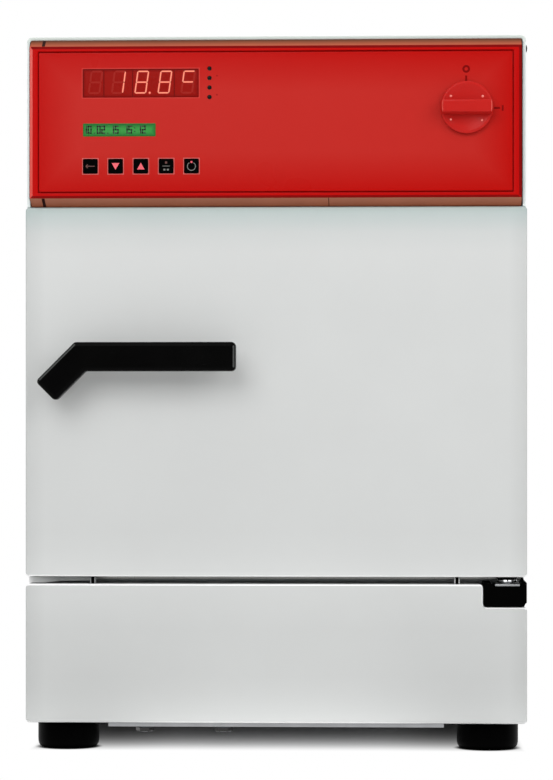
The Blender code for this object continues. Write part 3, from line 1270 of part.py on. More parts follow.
def door_seal(finish):
    """Silicone seal round the glass door's rebate, between the door and the front frame."""
    left = GLASS_LEFT - GLASS_SIDE_GAP - 1.5
    right = GLASS_AXIS_X + GLASS_HINGE_OFFSET + 1.5
    low = CHAMBER_BOTTOM - GLASS_LAP - GLASS_SIDE_GAP - 1.5
    high = CHAMBER_TOP + GLASS_LAP + GLASS_SIDE_GAP + 1.5
    front, back = DOOR_THICKNESS + GAP, FRAME_FACE - GAP
    waist = front + 0.35 * (back - front)
    section = [(0.0, front), (SEAL_WIDTH, front), (SEAL_WIDTH * 0.75, waist), (SEAL_WIDTH, back - 1.0),
               (SEAL_WIDTH * 0.7, back), (SEAL_WIDTH * 0.3, back), (0.0, back - 1.0),
               (SEAL_WIDTH * 0.25, waist)]
    rings = [at_depth(rectangle(left - out, right + out, low - out, high + out, 4.0 + out, 2), d)
             for out, d in section]
    return smooth(lofted("door_seal", rings, finish, closed=True))


def door_bush(name, low, finish):
    bore = PIN_RADIUS + RUNNING_GAP
    profile = [(bore, low), (BUSH_RADIUS, low), (BUSH_RADIUS, low + BUSH_LENGTH),
               (bore, low + BUSH_LENGTH)]
    return turned(name, profile, "Z", (PIN_X, PIN_DEPTH, 0), finish, 16, bored=True)


def handle_lever(finish):
    """Cranked lever: a leg at 45 degrees from the spindle, then the level grip bar."""
    along, across = math.sqrt(0.5) * LEG_TAIL, math.sqrt(0.5) * LEG_WIDTH / 2
    upper = (-along - across, -along + across)
    lower = (-along + across, -along - across)
    top, bottom = BAR_RISE + BAR_HEIGHT / 2, BAR_RISE - BAR_HEIGHT / 2
    corners = [(HANDLE_LENGTH, top), (upper[0] + top - upper[1], top), upper, lower,
               (lower[0] + bottom - lower[1], bottom), (HANDLE_LENGTH, bottom)]
    outline = rounded([(HANDLE_X + x, HANDLE_Z + z) for x, z in corners], 3.4)
    lever = extruded("handle_lever", [outline], "Y", LEVER_FRONT, -GRIP_SPACE, finish)
    lever = edged(lever, HANDLE_EDGE, 3, 50.0)
    hub = rod("hub", "Y", (HANDLE_X, 0, HANDLE_Z), HUB_RADIUS, -GRIP_SPACE - 4.0, -0.6, finish, 24)
    return smooth(fused(lever, hub))


def latch_spindle(finish):
    """Spindle through the door, with the latch finger behind it."""
    back = PANEL_BACK - 2.5
    spindle = rod("latch_spindle", "Y", (HANDLE_X, 0, HANDLE_Z), SPINDLE_RADIUS, -0.3, back, finish, 20)
    half = FINGER_HEIGHT / 2
    finger = extruded("finger", [rectangle(HANDLE_X - FINGER_LENGTH, HANDLE_X + 4.0, HANDLE_Z - half,
                                           HANDLE_Z + half, 3.0)], "Y", back - FINGER_THICKNESS, back,
                      finish)
    return smooth(fused(spindle, finger))


def latch_keeper(finish):
    """Block on the front frame, above the latch finger at rest."""
    low = HANDLE_Z + FINGER_HEIGHT / 2 + 0.7
    x1 = HANDLE_X - 12.0
    outline = rectangle(x1 - 14.0, x1, low, low + 16.0, 3.0)
    return extruded("latch_keeper", [outline], "Y", DOOR_THICKNESS + 1.5, FRAME_FACE - GAP, finish)


# Inner glass door

def glass_clip_heights():
    return [MIDDLE_Z + side * CHAMBER_HEIGHT / 3 for side in (-1, 1)]


def glass_pane(finish):
    low, high = CHAMBER_BOTTOM - GLASS_LAP, CHAMBER_TOP + GLASS_LAP
    outline = rectangle(GLASS_LEFT, GLASS_RIGHT, low, high, 4.0, 2)
    return extruded("glass_pane", [outline], "Y", GLASS_FRONT, GLASS_BACK, finish)


def glass_clip(name, z, finish):
    """Steel strap on the pane, rolled to a knuckle with a pin at each end."""
    half = CLIP_LENGTH / 2
    front = GLASS_FRONT - GAP - CLIP_SHEET
    strap = block(name, (GLASS_AXIS_X - 24.0, GLASS_AXIS_X), (front, front + CLIP_SHEET),
                  (z - half, z + half), finish)
    profile = [(0, -half - 4.0), (GLASS_PIN_RADIUS, -half - 4.0), (GLASS_PIN_RADIUS, -half),
               (KNUCKLE_RADIUS, -half), (KNUCKLE_RADIUS, half), (GLASS_PIN_RADIUS, half),
               (GLASS_PIN_RADIUS, half + 4.0), (0, half + 4.0)]
    knuckle = turned("knuckle", profile, "Z", (GLASS_AXIS_X, GLASS_AXIS_D, z), finish, 12)
    return smooth(fused(strap, knuckle))


def glass_knob(finish):
    back = GLASS_FRONT - GAP
    front = back - 6.0
    profile = [(0, front), (6.0, front), (7.0, front + 1.0), (7.0, front + 2.5), (4.5, back - 1.5),
               (5.5, back), (0, back)]
    return turned("glass_knob", profile, "Y", (GLASS_LEFT + 13.0, 0, MIDDLE_Z), finish, 16)


def build():
    for old in list(bpy.data.objects):
        bpy.data.objects.remove(old)
    white = material("white powder coat", (0.84, 0.85, 0.845), 0.4)
    red = material("red moulded plastic", (0.75, 0.17, 0.14), 0.35)
    red_foil = material("red front foil", (0.75, 0.17, 0.14), 0.3)
    black = material("black moulded plastic", (0.04, 0.04, 0.04), 0.45)
    rubber = material("black rubber", (0.03, 0.03, 0.03), 0.8)
    zinc = material("zinc-plated steel", (0.66, 0.67, 0.68), 0.4, 1.0)
    stainless = material("brushed stainless steel", (0.7, 0.7, 0.69), 0.3, 1.0)
    chrome = material("chromed wire", (0.78, 0.78, 0.78), 0.12, 1.0)
    foam = material("polyurethane foam", (0.85, 0.78, 0.55), 0.9)
    silicone = material("grey silicone rubber", (0.3, 0.31, 0.32), 0.6)
    copper = material("copper pipe", (0.72, 0.42, 0.28), 0.3, 1.0)
    aluminium = material("aluminium fins", (0.75, 0.76, 0.77), 0.35, 1.0)
    board = material("green circuit board", (0.08, 0.3, 0.14), 0.5)
    display = material("red display lens", (0.66, 0.14, 0.1), 0.15)
    text_green = material("green text display", (0.34, 0.55, 0.26), 0.2)
    clear = material("clear safety glass", (0.85, 0.92, 0.9), 0.05)

    outer_casing(white)
    rear_cover(zinc)
    side_plug(black)
    front_frame(stainless)
    chamber_liner(stainless)
    chamber_insulation(foam)
    runners = runner_heights()
    wire_shelf("lower_shelf", runners[1], chrome)
    wire_shelf("upper_shelf", runners[3], chrome)
    air_baffle(stainless)
    fan_motor(zinc)
    heater_ring(stainless)
    evaporator(aluminium)
    temperature_probe(stainless)
    machine_deck(zinc)
    base_pan(zinc)
    lower_front_panel(white)
    for side, across in ((-1, "left"), (1, "right")):
        foot(f"front_{across}_foot", side, FOOT_INSET_D, rubber)
        foot(f"rear_{across}_foot", side, DEPTH - FOOT_INSET_D, rubber)
    compressor(black)
    condenser(aluminium)
    condenser_fan_frame(black)
    filter_drier(copper)
    copper_lines(copper)
    power_inlet(black)
    power_board(board)
    control_housing(red)
    control_panel(red_foil)
    window("display_window", DISPLAY, display)
    window("text_window", TEXT_LINE, text_green)
    key_board(board)
    main_switch(black)
    lower_hinge_bracket(black)
    lower_hinge_plate(zinc)
    upper_hinge_bracket(zinc)
    latch_keeper(zinc)

    joint("door_hinge", (PIN_X, PIN_DEPTH, DOOR_BOTTOM), [
        door_shell(white), door_insulation(foam), door_liner(stainless), door_seal(silicone),
        door_bush("lower_door_bush", DOOR_BOTTOM, black),
        door_bush("upper_door_bush", DOOR_TOP - BUSH_LENGTH, black)])
    joint("handle_spindle", (HANDLE_X, 0, HANDLE_Z), [handle_lever(black), latch_spindle(zinc)])
    low, high = glass_clip_heights()
    joint("glass_door_hinge", (GLASS_AXIS_X, GLASS_AXIS_D, low), [
        glass_pane(clear), glass_clip("lower_glass_clip", low, stainless),
        glass_clip("upper_glass_clip", high, stainless), glass_knob(black)])
    joint("circulation_fan_shaft", (0, LINER_BACK, MIDDLE_Z), [circulation_fan(aluminium)])
    joint("condenser_fan_shaft", (CONDENSER_X, COOLING_FAN_BACK, COOLING_FAN_Z), [condenser_fan(black)])
    joint("switch_shaft", (SWITCH_X, -PROUD, SWITCH_Z), [switch_knob(red)])
    for number, (x, z) in enumerate(key_places()):
        joint(f"key_{number + 1}_slide", (x, -PROUD, z), [key(number, black)])


build()
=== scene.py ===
import math
import bmesh
import bpy
import numpy as np
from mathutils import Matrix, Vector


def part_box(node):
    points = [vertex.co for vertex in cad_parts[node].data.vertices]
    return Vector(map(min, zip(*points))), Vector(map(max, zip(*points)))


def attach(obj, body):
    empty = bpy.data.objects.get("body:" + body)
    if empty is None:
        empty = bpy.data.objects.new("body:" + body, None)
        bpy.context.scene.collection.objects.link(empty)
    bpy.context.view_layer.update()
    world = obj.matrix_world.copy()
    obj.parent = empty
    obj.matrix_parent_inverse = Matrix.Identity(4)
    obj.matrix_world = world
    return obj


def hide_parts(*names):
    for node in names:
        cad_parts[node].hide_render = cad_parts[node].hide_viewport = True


# Looks of a refrigerated incubator: powder-coated casing and door, red control head, glass door inside.
# Sizes in the settings are millimetres: x to the right, deep behind the door's face, z up.
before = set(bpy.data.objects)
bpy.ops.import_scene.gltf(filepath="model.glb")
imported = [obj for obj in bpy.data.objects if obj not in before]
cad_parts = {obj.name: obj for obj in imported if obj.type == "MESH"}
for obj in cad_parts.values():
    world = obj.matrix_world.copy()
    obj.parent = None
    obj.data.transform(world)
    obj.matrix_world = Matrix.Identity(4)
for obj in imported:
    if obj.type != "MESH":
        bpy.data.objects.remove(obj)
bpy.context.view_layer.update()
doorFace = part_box("door_shell")[0].y  # metres, front of the door
mm = 0.001
print("frame loaded:", len(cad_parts), "nodes")


# Points, paths and surfaces

def place(x, deep, z):
    # millimetres to world metres, for numbers or whole arrays
    x, deep, z = np.broadcast_arrays(*(np.asarray(value, float) for value in (x, deep, z)))
    return np.stack([x * mm, doorFace + deep * mm, z * mm], axis=-1)


def boxOutline(x0, x1, z0, z1):
    return [(x0, z0), (x1, z0), (x1, z1), (x0, z1)]


def rectangleRow(x0, x1, z0, z1, radius, steps=6):
    # rounded rectangle, anticlockwise from below right: each corner's middle + radius (cos a, sin a)
    turn = np.radians(np.linspace(0, 90, steps + 1))
    angle = np.concatenate([turn - np.pi / 2, turn, turn + np.pi / 2, turn + np.pi])
    middleX = np.repeat([x1 - radius, x1 - radius, x0 + radius, x0 + radius], steps + 1)
    middleZ = np.repeat([z0 + radius, z1 - radius, z1 - radius, z0 + radius], steps + 1)
    return middleX + radius * np.cos(angle), middleZ + radius * np.sin(angle)


def roundedPath(corners, radius, steps=6):
    # polygon (anticlockwise) with every corner turned into an arc; gives places and outward normals
    places, normals = [], []
    count = len(corners)
    for i in range(count):
        here, back, on = (np.array(corners[j % count], float) for j in (i, i - 1, i + 1))
        a, b = (back - here) / np.linalg.norm(back - here), (on - here) / np.linalg.norm(on - here)
        half = np.arccos(np.clip(a @ b, -1, 1)) / 2
        middle = here + (a + b) / np.linalg.norm(a + b) * radius / np.sin(half)
        outward = 1.0 if a[0] * b[1] - a[1] * b[0] < 0 else -1.0
        first = here + a * radius / np.tan(half) - middle
        last = here + b * radius / np.tan(half) - middle
        start, end = np.arctan2(first[1], first[0]), np.arctan2(last[1], last[0])
        sweep = (end - start + np.pi) % (2 * np.pi) - np.pi
        angle = start + sweep * np.linspace(0, 1, steps + 1)
        ray = np.stack([np.cos(angle), np.sin(angle)], axis=1)
        places.append(middle + radius * ray)
        normals.append(outward * ray)
    return np.concatenate(places), np.concatenate(normals)


def quarter(radius, start, end, count):
    # offsets of an arc of the radius between two angles in degrees
    a = np.radians(np.linspace(start, end, count))
    return np.stack([radius * np.cos(a), radius * np.sin(a)], axis=1)


def surface(grid, closed=False, capped=True):
    # points and faces of a grid whose rows are rings: quads between neighbouring rings, and from the
    # last ring to the first where it is closed; else its two ends are capped where asked
    rows, columns = grid.shape[:2]
    r, c = np.meshgrid(np.arange(rows if closed else rows - 1), np.arange(columns), indexing="ij")
    nextR, nextC = (r + 1) % rows, (c + 1) % columns
    quads = [r * columns + c, r * columns + nextC, nextR * columns + nextC, nextR * columns + c]
    faces = np.stack(quads, axis=-1).reshape(-1, 4).tolist()
    if capped and not closed:
        faces.append(list(range(columns))[::-1])
        faces.append(list(range((rows - 1) * columns, rows * columns)))
    return grid.reshape(-1, 3), faces


def joinParts(parts):
    # several (points, faces) as one
    points, faces, start = [], [], 0
    for somePoints, someFaces in parts:
        points.append(somePoints)
        faces += [[i + start for i in face] for face in someFaces]
        start += len(somePoints)
    return np.concatenate(points), faces


def carried(path, normals, inset, deep):
    # an outline carried through a section: at each step it shrinks by the inset along its normals
    flat = path[None] - np.asarray(inset)[:, None, None] * normals[None]
    return surface(place(flat[..., 0], np.asarray(deep)[:, None], flat[..., 1]))


def plate(corners, radius, front, back, edge, rearEdge=0.2):
    # a polygon of (x, z) drawn back from front to back; its front rim is a quarter round of the edge size
    a = np.linspace(0, np.pi / 2, 7)
    flatRim = edge + min(0.35, 0.6 * (radius - edge))
    inset = np.concatenate([[flatRim], (edge * (1 - np.cos(a)))[::-1], [0.0, rearEdge, rearEdge + 0.2]])
    deep = np.concatenate([[front], (front + edge * (1 - np.sin(a)))[::-1], [back - rearEdge, back, back]])
    return carried(*roundedPath(corners, radius), inset, deep)


def tray(corners, radius, sheet, fold, back):
    # folded sheet pan open at the back: the path is carried through inner wall, rim and quarter-round fold
    a = np.linspace(0, np.pi / 2, 8)
    inset = np.concatenate([[sheet + 1.2, sheet, sheet, 0.0], fold * (1 - np.cos(a)), [fold + 0.5]])
    deep = np.concatenate([[sheet, sheet + 1.2, back, back], fold * (1 - np.sin(a)), [0.0]])
    return carried(*roundedPath(corners, radius), inset, deep)


def frameSurface(rows, closed=False, steps=6):
    # rounded rectangles (x0, x1, z0, z1, corner, deep), one behind the other, joined side by side
    grid = []
    for x0, x1, z0, z1, corner, deep in rows:
        x, z = rectangleRow(x0, x1, z0, z1, corner, steps)
        grid.append(place(x, deep, z))
    return surface(np.array(grid), closed)


def insetRows(box, corner, steps):
    # rows for frameSurface: the box (x0, x1, z0, z1) shrunk by each inset, its corner with it
    x0, x1, z0, z1 = box
    return [(x0 + i, x1 - i, z0 + i, z1 - i, corner - i, deep) for i, deep in steps]


def lathe(profile, axis, centre, segments=48, bored=False):
    # each (radius, along) of the profile goes once round the axis: radius cos a, radius sin a, along
    profile = np.array(profile, float)
    a = np.linspace(0, 2 * np.pi, segments, endpoint=False)
    across, up = profile[:, :1] * np.cos(a), profile[:, :1] * np.sin(a)
    along = np.repeat(profile[:, 1:], segments, axis=1)
    x, deep, z = {"x": (along, across, up), "y": (across, along, up), "z": (across, up, along)}[axis]
    return surface(place(x + centre[0], deep + centre[1], z + centre[2]), closed=bored, capped=False)


def tube(route, radius, sides):
    # a circle carried along a polyline; its two axes are kept square to the way at each point
    route = np.array(route, float)
    way = np.gradient(route, axis=0)
    way /= np.linalg.norm(way, axis=1, keepdims=True)
    helper = np.where(np.abs(way[:, 2:]) > 0.9, [[1.0, 0, 0]], [[0, 0, 1.0]])
    first = np.cross(way, helper)
    first /= np.linalg.norm(first, axis=1, keepdims=True)
    second = np.cross(way, first)
    a = np.linspace(0, 2 * np.pi, sides, endpoint=False)[None, :, None]
    grid = route[:, None] + radius * (np.cos(a) * first[:, None] + np.sin(a) * second[:, None])
    return surface(place(grid[..., 0], grid[..., 1], grid[..., 2]))


def flatShape(outlines, deep, thick=0.03):
    # flat printed or lit shapes: each outline of (x, z) is a thin slab in front of the depth
    parts = []
    for outline in outlines:
        outline = np.array(outline, float)
        grid = np.array([place(outline[:, 0], d, outline[:, 1]) for d in (deep, deep - thick)])
        parts.append(surface(grid))
    return joinParts(parts)


def makePiece(name, shape, finishName, body, node=None, sharp=32.0):
    # a mesh with merged doubles and outward normals, on its body; it replaces the CAD node where named
    points, faces = shape
    mesh = bpy.data.meshes.new(name)
    mesh.from_pydata(points.tolist(), [], faces)
    mesh.validate()
    mesh.update()
    kit = bmesh.new()
    kit.from_mesh(mesh)
    bmesh.ops.remove_doubles(kit, verts=kit.verts, dist=1e-7)
    bmesh.ops.recalc_face_normals(kit, faces=kit.faces)
    kit.to_mesh(mesh)
    kit.free()
    mesh.shade_smooth()
    mesh.set_sharp_from_angle(angle=math.radians(sharp))
    mesh.materials.append(finishes[finishName])
    piece = bpy.data.objects.new(name, mesh)
    bpy.context.scene.collection.objects.link(piece)
    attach(piece, body)
    if node:
        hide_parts(node)
    return piece


def facesOf(piece):
    # normals, middles in millimetres and depth of each face of a piece
    count = len(piece.data.polygons)
    normals, centres = np.empty(count * 3), np.empty(count * 3)
    piece.data.polygons.foreach_get("normal", normals)
    piece.data.polygons.foreach_get("center", centres)
    normals, centres = normals.reshape(-1, 3), centres.reshape(-1, 3) / mm
    return normals, centres, centres[:, 1] - doorFace / mm


def paintFaces(piece, choices):
    # a further finish on the chosen faces, a later choice over an earlier one
    index = np.zeros(len(piece.data.polygons), np.int32)
    for finishName, chosen in choices.items():
        piece.data.materials.append(finishes[finishName])
        index[chosen] = len(piece.data.materials) - 1
    piece.data.polygons.foreach_set("material_index", index)


# Materials

def linear(code):
    # sRGB hex to the linear numbers of a shader
    part = np.array([int(code[i:i + 2], 16) for i in (0, 2, 4)]) / 255
    part = np.where(part <= 0.04045, part / 12.92, ((part + 0.055) / 1.055) ** 2.4)
    return (*part.tolist(), 1.0)


def addNode(tree, kind, values=None, links=None, **settings):
    # one node with its settings, its sockets' values and the links into them
    node = tree.nodes.new(kind)
    for key, value in settings.items():
        setattr(node, key, value)
    for key, value in (values or {}).items():
        node.inputs[key].default_value = value
    for key, source in (links or {}).items():
        tree.links.new(source, node.inputs[key])
    return node


def insideOf(tree, point, limits):
    # distance inside a box: the shortest way to any of its sides, each (axis, low, high) in
    # millimetres, Y as depth
    parts = addNode(tree, "ShaderNodeSeparateXYZ", links={"Vector": point})
    least = None
    for axis, low, high in limits:
        middle = (low + high) / 2 * mm + (doorFace if axis == "Y" else 0.0)
        off = addNode(tree, "ShaderNodeMath", {1: middle}, {0: parts.outputs[axis]}, operation="SUBTRACT")
        size = addNode(tree, "ShaderNodeMath", links={0: off.outputs[0]}, operation="ABSOLUTE")
        inside = addNode(tree, "ShaderNodeMath", {0: (high - low) / 2 * mm}, {1: size.outputs[0]},
                         operation="SUBTRACT")
        if least is None:
            least = inside.outputs[0]
        else:
            least = addNode(tree, "ShaderNodeMath", links={0: least, 1: inside.outputs[0]},
                            operation="MINIMUM").outputs[0]
    return least


def surfaceFinish(name, look):
    # clouds of two close colours, a roughness that wanders with them and a fine grain as bump; the
    # clouds and the grain are as many millimetres wide as the look says
    material = bpy.data.materials.new(name)
    material.use_nodes = True
    tree = material.node_tree
    shader = tree.nodes["Principled BSDF"]
    for socket, key, usual in (("Metallic", "metallic", 0.0), ("Specular IOR Level", "gloss", 0.5),
                               ("Coat Weight", "coat", 0.0), ("Anisotropic", "brushed", 0.0),
                               ("Transmission Weight", "clear", 0.0)):
        shader.inputs[socket].default_value = look.get(key, usual)
    shader.inputs["Coat Roughness"].default_value = 0.1
    spot = addNode(tree, "ShaderNodeTexCoord").outputs["Object"]
    scaled = addNode(tree, "ShaderNodeMapping", {"Scale": look.get("stretch", (1, 1, 1))}, {"Vector": spot})
    cloud = addNode(tree, "ShaderNodeTexNoise", {"Scale": 1 / (look["cloud"] * mm), "Detail": 3.0},
                    {"Vector": scaled.outputs["Vector"]})
    blend = addNode(tree, "ShaderNodeValToRGB", links={"Fac": cloud.outputs["Fac"]})
    blend.color_ramp.interpolation = "EASE"
    for stop, at, code in zip(blend.color_ramp.elements, (0.2, 0.8), look["colours"]):
        stop.position = at
        stop.color = linear(code)
    colour = blend.outputs["Color"]
    # the rim and the ladder below serve painted shade and painted light, near edges and by height
    if "rim" in look:  # turns to another colour near the rim of a box
        rim = look["rim"]
        share = addNode(tree, "ShaderNodeMapRange", {"From Max": rim["width"] * mm},
                        {"Value": insideOf(tree, spot, rim["limits"])})
        colour = addNode(tree, "ShaderNodeMix", {6: linear(rim["colour"])},
                         {0: share.outputs["Result"], 7: colour}, data_type="RGBA").outputs[2]
    if "ladder" in look:  # is tinted by the colours at these heights
        steps = look["ladder"]
        low, high = steps[0][0], steps[-1][0]
        parts = addNode(tree, "ShaderNodeSeparateXYZ", links={"Vector": spot})
        share = addNode(tree, "ShaderNodeMapRange", {"From Min": low * mm, "From Max": high * mm},
                        {"Value": parts.outputs["Z"]})
        tint = addNode(tree, "ShaderNodeValToRGB", links={"Fac": share.outputs["Result"]})
        for i, (height, code) in enumerate(steps):
            at = (height - low) / (high - low)
            if 0 < i < len(steps) - 1:
                tint.color_ramp.elements.new(at)
            tint.color_ramp.elements[i].position = at
            tint.color_ramp.elements[i].color = linear(code)
        colour = addNode(tree, "ShaderNodeMix", {0: 1.0}, {6: colour, 7: tint.outputs["Color"]},
                         data_type="RGBA", blend_type="MULTIPLY").outputs[2]
    tree.links.new(colour, shader.inputs["Base Color"])
    low, high = look["roughness"]
    wander = addNode(tree, "ShaderNodeMapRange", {"To Min": low, "To Max": high},
                     {"Value": cloud.outputs["Fac"]})
    tree.links.new(wander.outputs["Result"], shader.inputs["Roughness"])
    grainScale = {"Scale": 1 / (look["grain"] * mm)}
    if "cells" in look:
        grain = addNode(tree, "ShaderNodeTexVoronoi", grainScale, {"Vector": scaled.outputs["Vector"]})
        height = grain.outputs["Distance"]
    else:
        grain = addNode(tree, "ShaderNodeTexNoise", {**grainScale, "Detail": 2.0},
                        {"Vector": scaled.outputs["Vector"]})
        height = grain.outputs["Fac"]
    depth = look.get("height", 0.1) * mm
    bump = addNode(tree, "ShaderNodeBump", {"Strength": look["bump"], "Distance": depth}, {"Height": height})
    tree.links.new(bump.outputs["Normal"], shader.inputs["Normal"])
    if "light" in look:  # its own light, at strength 1 so that it shows as the colour is written
        shader.inputs["Emission Color"].default_value = linear(look["light"])
        shader.inputs["Emission Strength"].default_value = 1.0
    return material


# The real grain of mouldings, foil, rubber and ink is finer than a tenth of a millimetre, too fine to
# show, so it is drawn at 0.3 to 1.1 here.
# polyester powder baked on sheet steel: satin, with an orange peel so fine that it only softens glints
powderCoat = {"cloud": 111.1, "roughness": (0.42, 0.5), "grain": 0.6667, "bump": 0.12, "gloss": 0.4}
faceWidth = (("X", -217.5, 218.5),)
# injection-moulded ABS: one even colour with soft glints; the pale red and pink finishes below are painted
# highlights
moulded = {"grain": 0.4545, "bump": 0.04}
# moulded polyamide handle, smoother than the other black parts; the grey on its edges is a painted glint
polyamide = {"cloud": 28.57, "grain": 0.3333}
# brushed sheet: long fine lines across or up and down, which smear what it mirrors
brushedSheet = {"colours": ("B3B3B0", "BDBDBA"), "cloud": 50.0, "roughness": (0.24, 0.34), "grain": 11.11,
                "bump": 0.1, "metallic": 1.0, "brushed": 0.5}
# what lies behind or on a lens: flat, barely shiny
segment = {"cloud": 11.11, "roughness": (0.3, 0.36), "grain": 1.111, "bump": 0.04}
# lit stroke of a display: a dark base that its own even light covers
litStroke = {**segment, "colours": ("2F0F08", "311108"), "roughness": (0.34, 0.36), "bump": 0.02}
# screen-printed ink: a thin dull film
ink = {"cloud": 11.11, "roughness": (0.45, 0.55), "grain": 0.6667, "bump": 0.06}

